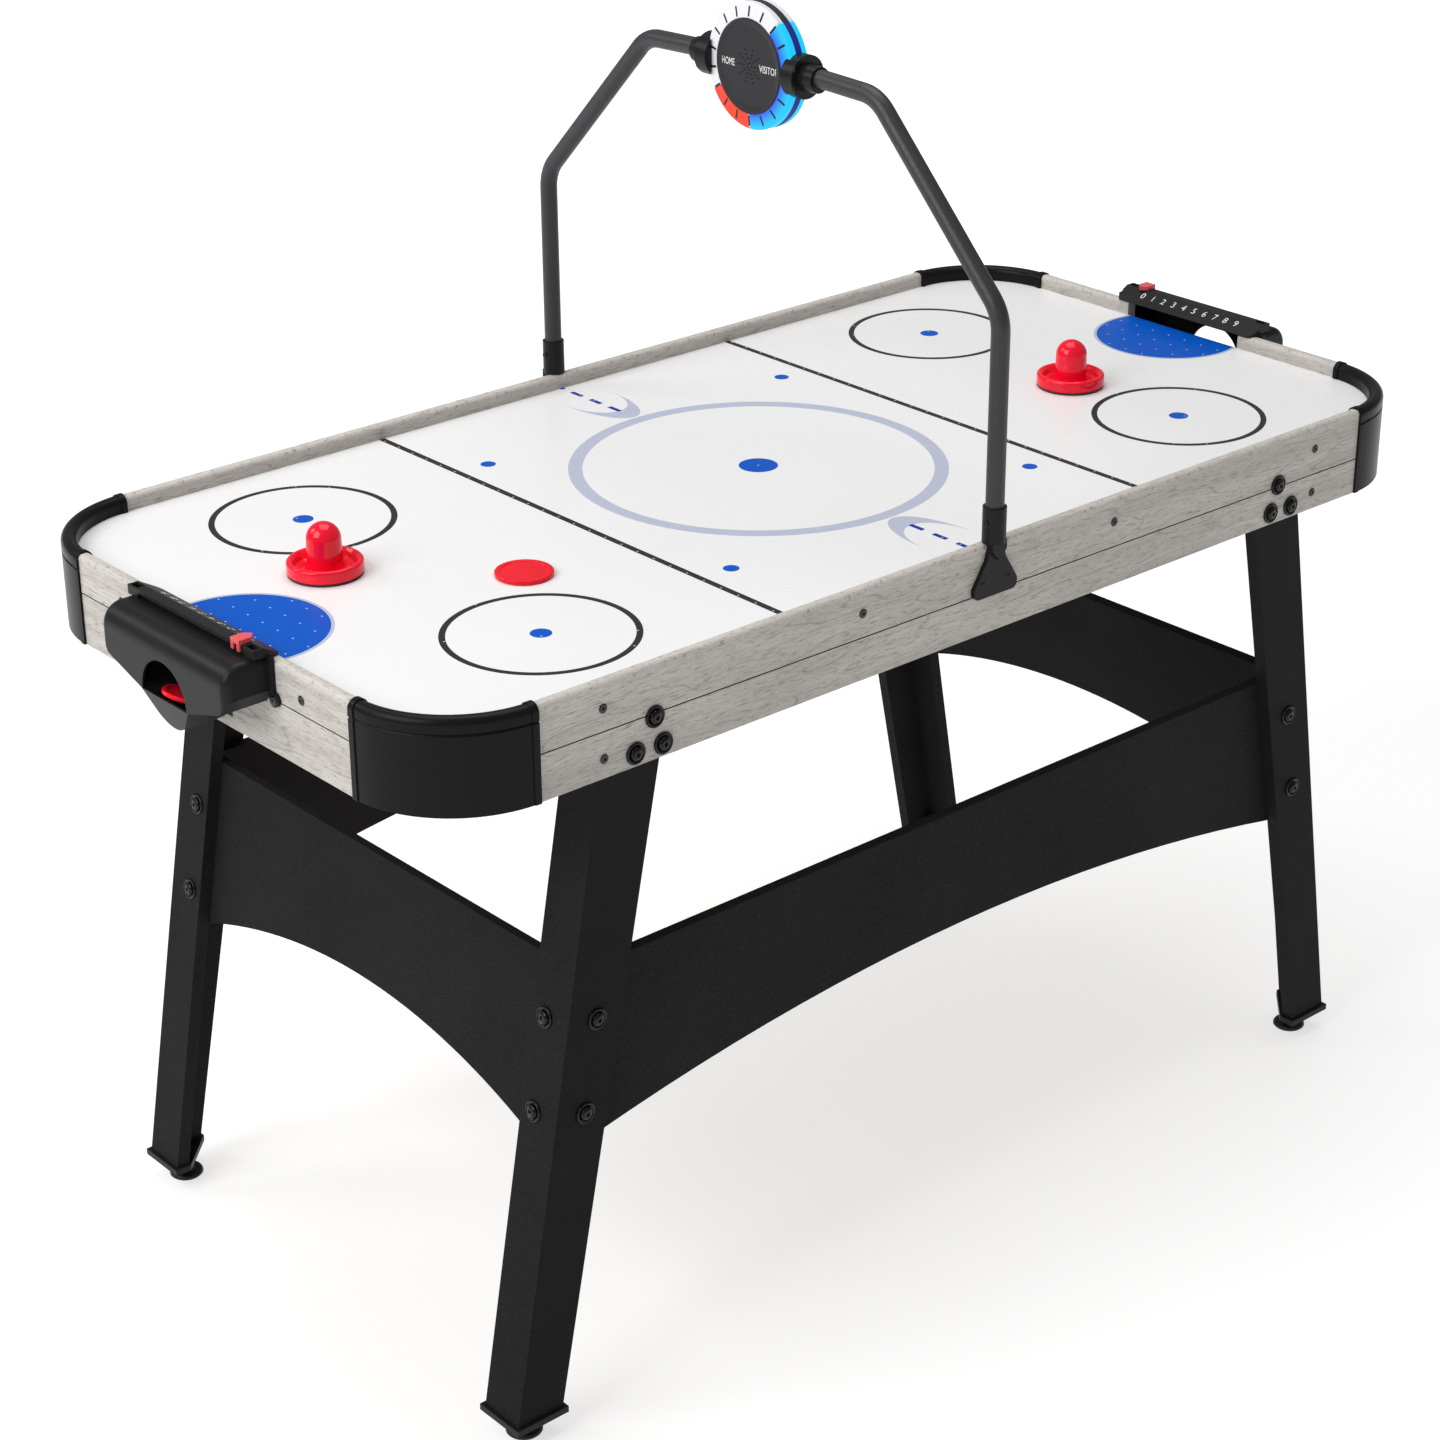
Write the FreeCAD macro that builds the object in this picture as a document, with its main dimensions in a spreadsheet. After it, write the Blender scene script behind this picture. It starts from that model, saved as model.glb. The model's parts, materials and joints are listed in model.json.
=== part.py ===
"""Air hockey table with an overhead electronic scorer, as separate named pieces.

Frame: millimetres, +Z up, origin on the floor under the middle of the table.
X runs along the table towards the right-hand goal, and -Y is the front long side.
"""

import FreeCAD, Part
import Sketcher

import math
import os
import re

# --------------------------------------------------------------------------- driving dimensions

DIMENSIONS = (
    # table top
    ("rail_top", 796.0, "top of the rails above the floor"),
    ("half_length", 686.0, "middle to the outer face of an end apron"),
    ("half_width", 345.4, "middle to the outer face of a side apron"),
    ("corner_radius", 117.5, "outer radius of the table's corners"),
    ("apron_tall", 95.0, "height of the aprons"),
    ("apron_thick", 13.0, "thickness of the aprons"),
    ("rail_round", 4.5, "rounding of the aprons' upper edges"),
    ("play_drop", 16.0, "rail top down to the playing surface"),
    ("seam_tall", 1.2, "height of the plank seam in an apron's face"),
    ("seam_deep", 0.8, "depth of the plank seam"),
    ("seam_near", 48.8, "rail top down to the side seam's left end"),
    ("seam_far", 56.0, "rail top down to the side seam's right end"),
    ("seam_end", 40.7, "rail top down to the end apron's seam"),
    ("play_thick", 5.0, "thickness of the playing board"),
    ("plenum_gap", 15.0, "air space under the playing board"),
    ("floor_thick", 4.0, "thickness of the board that closes the air space"),
    ("strip_wide", 14.0, "width of the spacer strips in the air space"),
    ("fan_hole", 50.0, "radius of the blower's opening in the lower board"),
    # corner castings
    ("casting_proud", 1.2, "casting outside and above the aprons"),
    ("casting_wall", 3.0, "wall of a casting"),
    ("casting_lip", 2.0, "casting's inner lip over the playing board"),
    ("bead_proud", 1.2, "end beads proud of the casting"),
    ("bead_angle", 3.4, "arc of an end bead, degrees"),
    ("groove_drop", 15.0, "rail top down to the casting's groove"),
    ("groove_deep", 1.4, "depth and half height of the groove"),
    ("brace_thick", 12.0, "thickness of the corner braces"),
    # legs
    ("leg_spread", 490.0, "leg's outer corner from the middle, at the apron's lower edge"),
    ("leg_slope", 0.18, "outward splay of a leg per unit of height"),
    ("leg_board", 15.0, "thickness of the leg boards"),
    ("leg_wide_head", 73.0, "width of the leg's long face at the head"),
    ("leg_wide_foot", 55.0, "width of the leg's long face at the foot"),
    ("leg_side", 53.0, "width of the leg's end face"),
    ("leg_foot", 30.0, "foot of the leg boards above the floor"),
    ("cap_thick", 7.0, "thickness of a leg's end cap"),
    ("cap_proud", 4.0, "end cap outside the leg boards"),
    ("cap_boss", 7.0, "radius of the cap's threaded boss"),
    ("cap_boss_tall", 20.0, "height of the cap's threaded boss"),
    ("foot_inset", 26.5, "leveller's axis from the leg's outer corner"),
    ("foot_disc", 18.5, "radius of the leveller's disc"),
    ("foot_disc_tall", 6.0, "height of the leveller's disc"),
    ("foot_neck", 6.5, "radius of the leveller's neck"),
    ("foot_thread", 4.0, "radius of the leveller's thread"),
    ("fit_gap", 0.06, "radial clearance of a running fit"),
    # lower panels
    ("panel_thick", 12.0, "thickness of the lower panels"),
    ("panel_top", 494.0, "upper edge of the lower panels above the floor"),
    ("panel_foot", 310.0, "lower corners of the lower panels"),
    ("panel_crown", 360.5, "middle of the panels' arched lower edge"),
    # leg and panel bolts
    ("bolt_high", 744.1, "upper apron bolt of each leg, above the floor"),
    ("bolt_low", 714.5, "lower apron bolts of each leg"),
    ("bolt_high_out", 436.1, "upper apron bolt from the middle"),
    ("bolt_low_in", 426.6, "inner lower apron bolt from the middle"),
    ("bolt_low_out", 459.3, "outer lower apron bolt from the middle"),
    ("panel_bolt_high", 447.6, "upper panel bolts above the floor"),
    ("panel_bolt_low", 351.7, "lower panel bolts above the floor"),
    ("panel_bolt_in", 34.5, "panel bolts from the leg's outer corner"),
    ("bolt_shank", 3.0, "radius of a bolt's shank"),
    ("bolt_head", 6.8, "radius of a bolt's domed head"),
    ("washer_radius", 10.8, "radius of a washer"),
    ("washer_thick", 1.6, "thickness of a washer"),
    ("nut_radius", 5.8, "corner radius of a nut"),
    ("nut_thick", 5.0, "thickness of a nut"),
    ("screw_head", 4.2, "radius of a wood screw's head"),
    # goals
    ("mouth_half", 85.0, "half width of a goal mouth"),
    ("mouth_sill", 24.0, "rail top down to the sill cut in the end apron"),
    ("box_half", 106.0, "half length of a goal box"),
    ("box_deep", 51.0, "goal box out from the end apron"),
    ("box_rise", 3.0, "top of the goal box above the rail top"),
    ("box_shoulder", 30.0, "rail top down to the foot of the box's upright end faces"),
    ("slant_drop", 45.0, "rail top down to the outer end of the box's slanting underside"),
    ("slant_half", 95.0, "outer end of the slanting underside from the middle"),
    ("end_round", 9.0, "radius of the edges round the box's end faces"),
    ("box_round", 22.0, "radius of the box's upper outer edge"),
    ("box_wall", 2.5, "wall of the goal box"),
    ("lip_drop", 62.0, "rail top down to the lip of the puck tray"),
    ("lip_half", 37.5, "half width of the arched return opening"),
    ("lip_corner", 40.0, "end of the slanting underside from the middle, at the lip"),
    ("tray_drop", 94.0, "rail top down to the bottom of the puck tray"),
    ("foot_half", 24.5, "half width of the tray where its round bottom begins"),
    ("foot_drop", 81.5, "rail top down to where the tray's round bottom begins"),
    ("tray_nose", 42.0, "tray's lowest point out from the end apron"),
    ("tray_back", 13.0, "taper of the tray's outer face towards its bottom"),
    ("slot_half", 34.0, "half width of the tray's recess in the end apron"),
    ("ear_out", 112.0, "screw ears of the goal box from the middle"),
    ("ear_drop", 38.0, "rail top down to the ears' screws"),
    ("ear_radius", 7.0, "radius of a screw ear"),
    # score rails
    ("score_half", 106.0, "half length of a score rail"),
    ("score_in", 14.5, "score rail inside the end apron's outer face"),
    ("score_rise", 12.5, "score rail's top above the rail top"),
    ("score_ridge", 7.0, "inner edge of the score rail's flat top"),
    ("score_out", 18.0, "score rail outside the end apron's outer face"),
    ("track_half", 89.0, "half length of the lip that a marker slides on"),
    ("track_thick", 4.6, "thickness of that lip"),
    ("marker_half", 7.0, "half width of a score marker"),
    ("marker_zero", 80.0, "score marker at rest, from the middle"),
    # overhead scorer
    ("tube_radius", 9.5, "radius of the arch tube"),
    ("tube_wall", 1.2, "wall of the arch tube"),
    ("tube_bend", 45.0, "bend radius of the arch tube's axis"),
    ("arch_shoulder", 232.0, "rail top up to the arch's lower bend"),
    ("arch_crown", 409.5, "rail top up to the arch's upper bend"),
    ("arch_crown_in", 171.0, "upper bend from the middle"),
    ("arch_lean", 0.035, "rise of the arch's top run per unit of length"),
    ("socket_radius", 12.0, "radius of the bracket's socket"),
    ("socket_top", 38.0, "rail top up to the socket's rim"),
    ("plate_half", 30.0, "half width of the bracket's base plate"),
    ("plate_drop", 54.0, "rail top down to the base plate's lower edge"),
    ("plate_thick", 5.0, "thickness of the base plate"),
    ("pod_up", 410.5, "rail top up to the pod's axis"),
    ("pod_radius", 64.0, "outer radius of the pod's light ring"),
    ("pod_cap", 48.0, "radius of the pod's face"),
    ("pod_core", 4.0, "half thickness of the pod's middle band"),
    ("pod_half", 13.0, "half thickness of the pod at its light ring"),
    ("clamp_radius", 22.0, "radius of a pod clamp's flange"),
    ("clamp_in", 56.0, "inner face of a clamp's flange from the middle"),
    ("clamp_face", 73.0, "outer face of a clamp's flange from the middle"),
    ("clamp_end", 91.0, "end of a clamp's neck from the middle"),
    # play pieces
    ("pusher_radius", 38.0, "radius of a pusher"),
    ("pusher_tall", 53.0, "height of a pusher with its felt"),
    ("pusher_rim", 15.0, "height of a pusher's rim"),
    ("knob_radius", 17.2, "radius of a pusher's knob"),
    ("felt_thick", 1.5, "thickness of a pusher's felt"),
    ("puck_radius", 29.2, "radius of a puck"),
    ("puck_thick", 4.2, "thickness of a puck"),
    ("puck_recess", 0.9, "depth of a puck's recesses"),
    ("puck_rim", 4.8, "width of a puck's raised rim"),
    ("puck_tilt", 18.0, "tilt of the spare puck in its tray, degrees"),
    # blower and power
    ("fan_case", 62.0, "outer radius of the blower's case"),
    ("fan_case_tall", 46.0, "height of the blower's case"),
    ("fan_case_wall", 2.0, "wall of the blower's case"),
    ("fan_inlet", 36.0, "radius of the blower's inlet"),
    ("fan_wheel", 48.0, "radius of the impeller"),
    ("fan_motor", 20.0, "radius of the blower's motor"),
    ("power_at", 250.0, "power switch from the middle, along the back apron"),
    ("power_up", 728.0, "power switch above the floor"),
)

# Where the loose play pieces stand on the playing surface: across and along from the middle.
PUSHER_PLACES = {"left": (-510.9, 61.1), "right": (433.1, -44.2)}
PUCK_PLACE = (-369.9, -72.0)

doc = FreeCAD.newDocument("air_hockey_table")
sheet = doc.addObject("Spreadsheet::Sheet", "Dims")
SIZE = {}
for row, (alias, figure, meaning) in enumerate(DIMENSIONS, start=1):
    sheet.set(f"A{row}", str(figure))
    sheet.setAlias(f"A{row}", alias)
    sheet.set(f"B{row}", meaning)
    SIZE[alias] = figure
doc.recompute()

NODES = {}

# --------------------------------------------------------------------------- helpers


def formula(text):
    """The text with each dimension's word written as a reference to the sheet."""
    return re.sub(r"[a-z]\w*", lambda m: "Dims." + m[0] if m[0] in SIZE else m[0], str(text))


def number(text):
    """The present value of a formula."""
    return float(sheet.evalExpression(formula(text)))


def bind(thing, sizes):
    for name, text in sizes.items():
        thing.setExpression(name, formula(text))


def place(thing, at=(0, 0, 0), axis=(0, 0, 1), angle="0"):
    """Puts a piece at a point given by formulas, turned about an axis by a formula."""
    turn = FreeCAD.Rotation(FreeCAD.Vector(*axis), number(angle))
    thing.Placement = FreeCAD.Placement(FreeCAD.Vector(), turn)
    bind(thing, {f"Placement.Base.{letter}": text for letter, text in zip("xyz", at)})
    thing.recompute()
    return thing


def box(label, low, high):
    """A box between two corners given by formulas."""
    thing = doc.addObject("Part::Box", label)
    for name, a, b in zip(("Length", "Width", "Height"), low, high):
        bind(thing, {name: f"({b}) - ({a})"})
    return place(thing, low)


TOWARDS = {"x": ((0, 1, 0), "90"), "y": ((1, 0, 0), "-90"), "z": ((0, 0, 1), "0")}


def cylinder(label, at, radius, height, towards="z", arc="360"):
    thing = doc.addObject("Part::Cylinder", label)
    bind(thing, {"Radius": radius, "Height": height, "Angle": arc})
    return place(thing, at, *TOWARDS[towards])


def cone(label, at, low_radius, high_radius, height, towards="z"):
    thing = doc.addObject("Part::Cone", label)
    bind(thing, {"Radius1": low_radius, "Radius2": high_radius, "Height": height})
    return place(thing, at, *TOWARDS[towards])


def fuse(label, parts):
    thing = doc.addObject("Part::MultiFuse", label)
    thing.Shapes = parts
    thing.Refine = True
    thing.recompute()
    return thing


def cut(label, base, tools):
    """The base with every tool taken away; a cut that takes nothing is an error."""
    thing = doc.addObject("Part::Cut", label)
    thing.Base = base
    thing.Tool = tools[0] if len(tools) == 1 else fuse(label + "_tools", tools)
    thing.recompute()
    if thing.Shape.Volume > base.Shape.Volume - 1e-3:
        raise RuntimeError(f"{label}: the cut took nothing away")
    return thing


def common(label, parts):
    thing = doc.addObject("Part::MultiCommon", label)
    thing.Shapes = parts
    thing.recompute()
    return thing


def rounded(label, base, radius, wanted):
    """The base with a fillet on every edge that the test picks by its middle point."""
    thing = doc.addObject("Part::Fillet", label)
    thing.Base = base
    size = number(radius)
    picked = []
    for index, edge in enumerate(base.Shape.Edges, start=1):
        if wanted(edge, edge.valueAt((edge.FirstParameter + edge.LastParameter) / 2)):
            picked.append((index, size, size))
    thing.Edges = picked
    thing.recompute()
    return thing


def group(label, parts):
    """Separate solids kept together in one node."""
    thing = doc.addObject("Part::Compound", label)
    thing.Links = parts
    thing.recompute()
    return thing


def mirrored(label, source, normal):
    thing = doc.addObject("Part::Mirroring", label)
    thing.Source = source
    thing.Normal = FreeCAD.Vector(*normal)
    thing.recompute()
    return thing


def half_turn(label, source):
    """The piece at the other end of the table, turned half round about the upright axis."""
    thing = group(label, [source])
    thing.Placement = FreeCAD.Placement(FreeCAD.Vector(), FreeCAD.Rotation(0, 0, 1, 0))
    thing.recompute()
    return thing


def same(a, b):
    return abs(a - b) < 1e-4


def body(label):
    return doc.addObject("PartDesign::Body", label)


def outline(owner, plane, corners):
    """A closed sketch on one of the body's own planes, every corner tied to the sheet.

    A corner is (across, up), or (across, up, radius, side) where the edge that starts
    there is an arc that bulges to the right (+1) or left (-1) of the way it runs.
    """
    sketch = owner.newObject("Sketcher::SketchObject", owner.Name + "_outline")
    origin_plane = [f for f in owner.Origin.OriginFeatures if f.Role == plane][0]
    sketch.AttachmentSupport = [(origin_plane, "")]
    sketch.MapMode = "FlatFace"
    points = [FreeCAD.Vector(number(c[0]), number(c[1]), 0) for c in corners]
    ends = []
    for index, corner in enumerate(corners):
        start, end = points[index], points[(index + 1) % len(points)]
        if len(corner) == 2:
            sketch.addGeometry(Part.LineSegment(start, end), False)
        else:
            radius, chord = number(corner[2]), end - start
            sag = radius - math.sqrt(max(radius**2 - (chord.Length / 2) ** 2, 0))
            outward = FreeCAD.Vector(chord.y, -chord.x, 0).normalize() * corner[3]
            sketch.addGeometry(Part.Arc(start, (start + end) / 2 + outward * sag, end), False)
        forward = sketch.getPoint(index, 1).distanceToPoint(start) < 1e-6
        ends.append((1, 2) if forward else (2, 1))
    for index, corner in enumerate(corners):
        after = (index + 1) % len(corners)
        joined = (index, ends[index][1], after, ends[after][0])
        sketch.addConstraint(Sketcher.Constraint("Coincident", *joined))
        here = (-1, 1, index, ends[index][0])
        rules = [("DistanceX", here, corner[0]), ("DistanceY", here, corner[1])]
        if len(corner) > 2:
            rules.append(("Radius", (index,), corner[2]))
        for kind, where, text in rules:
            rule = Sketcher.Constraint(kind, *where, number(text))
            bind(sketch, {f"Constraints[{sketch.addConstraint(rule)}]": text})
    sketch.recompute()
    return sketch


def padded(label, plane, corners, length, at=(0, 0, 0), both_ways=False):
    """An outline extruded; from YZ towards +X, from XZ towards -Y, from XY towards +Z."""
    owner = body(label)
    pad = owner.newObject("PartDesign::Pad", label + "_pad")
    pad.Profile = outline(owner, plane, corners)
    bind(pad, {"Length": length})
    pad.SideType = "Symmetric" if both_ways else "One side"
    pad.recompute()
    return finish_body(owner, at)


def turned(label, corners, at=(0, 0, 0), arc="360", axis=(0, 0, 1), angle="0"):
    """An outline in (radius, height) revolved about the upright axis, then placed."""
    owner = body(label)
    spin = owner.newObject("PartDesign::Revolution", label + "_spin")
    sketch = outline(owner, "XZ_Plane", corners)
    spin.Profile = sketch
    spin.ReferenceAxis = (sketch, ["V_Axis"])
    bind(spin, {"Angle": arc})
    spin.recompute()
    return finish_body(owner, at, axis, angle)


def finish_body(owner, at, axis=(0, 0, 1), angle="0"):
    place(owner, at, axis, angle)
    owner.recompute()
    return owner


def copies(label, source, places):
    """One node of identical solids: the source's shape at each placement."""
    thing = doc.addObject("Part::Feature", label)
    shape = source.Shape.copy()
    shape.Placement = FreeCAD.Placement()
    solids = []
    for spot in places:
        solid = shape.copy()
        solid.Placement = spot
        solids.append(solid)
    thing.Shape = Part.makeCompound(solids)
    return thing


def spot(point, outward):
    """A placement whose +Z points outward at the given place."""
    turn = FreeCAD.Rotation(FreeCAD.Vector(0, 0, 1), FreeCAD.Vector(*outward))
    return FreeCAD.Placement(FreeCAD.Vector(*point), turn)


def node(label, thing):
    """Names a finished piece; its label is its file's name."""
    thing.Label = label
    NODES[label] = thing
    return thing


# --------------------------------------------------------------------------- table top

PLAY = "(rail_top - play_drop)"
APRON_FOOT = "(rail_top - apron_tall)"
CORNER_X = "(half_length - corner_radius)"
CORNER_Y = "(half_width - corner_radius)"
FLOOR_FOOT = "(rail_top - play_drop - play_thick - plenum_gap - floor_thick)"
INNER_X = "(half_length - apron_thick)"
INNER_Y = "(half_width - apron_thick)"
ENDS = (("right", 1), ("left", -1))
SIDES = (("back", 1), ("front", -1))


def rounded_board(label, low, thick, gap):
    """A board that fills the frame, with corners that follow the castings."""
    board = box(
        label + "_board",
        (f"-{INNER_X}", f"-{INNER_Y}", low),
        (INNER_X, INNER_Y, f"{low} + {thick}"),
    )
    return rounded(
        label, board, f"corner_radius - apron_thick + {gap}",
        lambda edge, middle: same(abs(middle.x), number(INNER_X))
        and same(abs(middle.y), number(INNER_Y)),
    )


def make_boards():
    node("playfield", rounded_board("playfield", f"{PLAY} - play_thick", "play_thick", "0.3"))
    closing = rounded_board("closing", FLOOR_FOOT, "floor_thick", "0.3")
    hole = cylinder("fan_opening", ("0", "0", f"{FLOOR_FOOT} - 1"), "fan_hole", "floor_thick + 2")
    node("plenum_floor", cut("plenum_floor", closing, [hole]))


def make_spacers():
    """Strips that hold the playing board above the lower board and let the air pass."""
    low, high = f"{FLOOR_FOOT} + floor_thick", f"{PLAY} - play_thick"
    strips = []
    for side, sign in SIDES:
        near, far = f"{sign} * {INNER_Y}", f"{sign} * ({INNER_Y} - strip_wide)"
        edge = (far, near) if sign > 0 else (near, far)
        strips.append(
            box(f"strip_{side}", (f"-{CORNER_X}", edge[0], low), (CORNER_X, edge[1], high))
        )
    for end, sign in ENDS:
        near, far = f"{sign} * {INNER_X}", f"{sign} * ({INNER_X} - strip_wide)"
        edge = (far, near) if sign > 0 else (near, far)
        strips.append(
            box(f"strip_{end}", (edge[0], f"-{CORNER_Y}", low), (edge[1], CORNER_Y, high))
        )
        rib = f"{sign} * {CORNER_X} / 2"
        rib_low = (f"{rib} - strip_wide / 2", f"-{CORNER_Y}", low)
        rib_high = (f"{rib} + strip_wide / 2", CORNER_Y, high)
        strips.append(box(f"rib_{end}", rib_low, rib_high))
    node("plenum_spacers", group("plenum_spacers", strips))


APRON_BOLTS = (
    ("bolt_high_out", "bolt_high"),
    ("bolt_low_in", "bolt_low"),
    ("bolt_low_out", "bolt_low"),
)


def screw_outline(spare):
    """A countersunk wood screw with a small recess, or, with some to spare, its hole."""
    return [
        ("0", f"-11 - {spare}"),
        (f"1.4 + {spare}", f"-9 - {spare}"),
        (f"1.4 + {spare}", "-2.4"),
        (f"screw_head - 0.4 + {spare}", "0"),
    ]


def screw_spots():
    """Where the wood screws stand: on the side aprons, the end aprons and the goals' ears."""
    top, face = SIZE["rail_top"], SIZE["half_width"]
    side, end, ears = [], [], []
    for sx in (-1, 1):
        for sy in (-1, 1):
            for out, drop in ((495.5, 25.7), (495.5, 75.6), (176.2, 25.5)):
                side.append(spot((sx * out, sy * face, top - drop), (0, sy, 0)))
            end.append(spot((sx * SIZE["half_length"], sy * 152.0, top - 25.7), (sx, 0, 0)))
            ear = (sx * (SIZE["half_length"] + 4.0), sy * SIZE["ear_out"], top - SIZE["ear_drop"])
            ears.append(spot(ear, (sx, 0, 0)))
    return side, end, ears


def screw_holes(label, spots):
    outline_of_hole = screw_outline("0.12") + [("screw_head - 0.28", "2"), ("0", "2")]
    return copies(label, turned(label + "_hole", outline_of_hole), spots)


def make_side_aprons():
    blank = box(
        "side_apron_blank",
        (f"-{CORNER_X}", INNER_Y, APRON_FOOT),
        (CORNER_X, "half_width", "rail_top"),
    )
    top = number("rail_top")
    board = rounded(
        "side_apron_board", blank, "rail_round",
        lambda edge, middle: same(middle.z, top) and same(middle.x, 0),
    )
    holes = []
    for sign in (-1, 1):
        for out, up in APRON_BOLTS:
            at = (f"{sign} * {out}", f"{INNER_Y} - 1", up)
            hole = cylinder("apron_hole", at, "bolt_shank + 0.2", "apron_thick + 2", "y")
            holes.append(hole)
        at = (f"{sign} * 17.6", "half_width - 3", "rail_top - 38")
        holes.append(cylinder("apron_pilot", at, "1.5", "4", "y"))
    holes.append(screw_holes("side_apron_screws", screw_spots()[0]))
    holes.append(
        padded(
            "side_seam", "XZ_Plane",
            [
                (f"-{CORNER_X} - 1", "rail_top - seam_near"),
                (f"{CORNER_X} + 1", "rail_top - seam_far"),
                (f"{CORNER_X} + 1", "rail_top - seam_far + seam_tall"),
                (f"-{CORNER_X} - 1", "rail_top - seam_near + seam_tall"),
            ],
            "seam_deep + 1", ("0", "half_width + 1", "0"),
        )
    )
    front_ready = cut("side_apron_drilled", board, holes)
    slots = power_slots()
    node("side_apron_back", cut("side_apron_back", front_ready, slots))
    node("side_apron_front", mirrored("side_apron_front", front_ready, (0, 1, 0)))


def power_slots():
    """Openings in the back apron for the switch and the power inlet."""
    switch = box(
        "switch_slot",
        ("power_at - 10", f"{INNER_Y} - 1", "power_up - 6.5"),
        ("power_at + 10", "half_width + 1", "power_up + 6.5"),
    )
    inlet_at = ("power_at + 34", f"{INNER_Y} - 1", "power_up")
    inlet = cylinder("inlet_slot", inlet_at, "6", "apron_thick + 2", "y")
    return [switch, inlet]


def make_end_aprons():
    blank = box(
        "end_apron_blank",
        (INNER_X, f"-{CORNER_Y}", APRON_FOOT),
        ("half_length", CORNER_Y, "rail_top"),
    )
    top = number("rail_top")
    board = rounded(
        "end_apron_board", blank, "rail_round",
        lambda edge, middle: same(middle.z, top) and same(middle.y, 0),
    )
    mouth = box(
        "mouth_cut",
        (f"{INNER_X} - 1", "-mouth_half", "rail_top - mouth_sill"),
        ("half_length + 1", "mouth_half", "rail_top + 1"),
    )
    slot = box(
        "slot_cut",
        (f"{INNER_X} - 1", "-slot_half", "rail_top - tray_drop + 11"),
        ("half_length + 1", "slot_half", "rail_top"),
    )
    seam = box(
        "end_seam",
        ("half_length - seam_deep", f"-{CORNER_Y} - 1", "rail_top - seam_end"),
        ("half_length + 1", f"{CORNER_Y} + 1", "rail_top - seam_end + seam_tall"),
    )
    _, end, ears = screw_spots()
    right = cut("end_apron_right", board, [mouth, slot, seam, screw_holes("end_screws", end + ears)])
    node("end_apron_right", right)
    node("end_apron_left", half_turn("end_apron_left", right))


def casting_outline(proud, foot):
    """Section of a corner casting: two walls, a full round top and a lip over the board."""
    outer = f"corner_radius + casting_proud + {proud}"
    inner = f"corner_radius - apron_thick - casting_lip - {proud}"
    under = "corner_radius - apron_thick + 0.3"
    half = f"(({outer}) - ({inner})) / 2"
    crest = f"rail_top + casting_proud + {proud}"
    middle = f"({outer}) - {half}"
    groove = "rail_top - groove_drop"
    lip = f"{PLAY} + 0.2"
    hollow_top = "rail_top - 4"
    points = [
        (outer, foot),
        (outer, f"{groove} - groove_deep"),
        (f"{outer} - groove_deep", groove),
        (outer, f"{groove} + groove_deep"),
        (outer, f"{crest} - {half}", half, 1),
        (middle, crest, half, 1),
        (inner, f"{crest} - {half}"),
        (inner, lip),
        (under, lip),
        (under, foot),
    ]
    if proud != "0":
        return points
    outer_wall, inner_wall = f"{outer} - casting_wall", f"{under} + casting_wall"
    hollow = [(inner_wall, foot), (inner_wall, hollow_top), (outer_wall, hollow_top)]
    return points + hollow + [(outer_wall, foot)]


def make_castings():
    centre = (CORNER_X, CORNER_Y, "0")
    wall = turned("casting_wall_ring", casting_outline("0", APRON_FOOT), centre, "90")
    bead_outline = casting_outline("bead_proud", APRON_FOOT)
    start = turned("casting_bead_start", bead_outline, centre, "bead_angle")
    end = turned("casting_bead_end", bead_outline, centre, "bead_angle", (0, 0, 1), "90 - bead_angle")
    first = fuse("corner_casting_back_right", [wall, start, end])
    node("corner_casting_back_right", first)
    front = node(
        "corner_casting_front_right", mirrored("corner_casting_front_right", first, (0, 1, 0))
    )
    for side, source in (("back", first), ("front", front)):
        name = f"corner_casting_{side}_left"
        node(name, mirrored(name, source, (1, 0, 0)))


def make_braces():
    """Gussets that tie the side and end aprons together inside each corner."""
    reach = "78"
    corners = [
        (INNER_X, f"{CORNER_Y} - {reach}"),
        (INNER_X, CORNER_Y),
        (CORNER_X, INNER_Y),
        (f"{CORNER_X} - {reach} + 8", INNER_Y),
        (f"{CORNER_X} - {reach} + 8", f"{INNER_Y} - 26"),
        (f"{INNER_X} - 26", f"{CORNER_Y} - {reach}"),
    ]
    at = ("0", "0", f"{FLOOR_FOOT} - brace_thick")
    braces = [padded("brace_back_right", "XY_Plane", corners, "brace_thick", at)]
    braces.append(mirrored("brace_front_right", braces[0], (0, 1, 0)))
    braces += [mirrored(b.Name + "_left", b, (1, 0, 0)) for b in list(braces)]
    node("corner_braces", group("corner_braces", braces))


# --------------------------------------------------------------------------- legs

OUTER_LEG_Y = INNER_Y
LEG_HEAD = f"({FLOOR_FOOT} - 1)"
LEAN = math.atan(SIZE["leg_slope"])
SPLAY = str(math.degrees(LEAN))
BOARD_ACROSS = "(leg_board * sqrt(1 + leg_slope * leg_slope))"


def leg_x(height):
    """How far out the leg's outer corner is at a height."""
    return f"(leg_spread + leg_slope * ({APRON_FOOT} - ({height})))"


def panel_bolt_places():
    """Where the bolts go through each leg: the side face first, then the end face."""
    side, end = [], []
    for height in ("panel_bolt_high", "panel_bolt_low"):
        side.append((f"{leg_x(height)} - panel_bolt_in", OUTER_LEG_Y, height))
        end.append((leg_x(height), f"{OUTER_LEG_Y} - panel_bolt_in", height))
    return side, end


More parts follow.
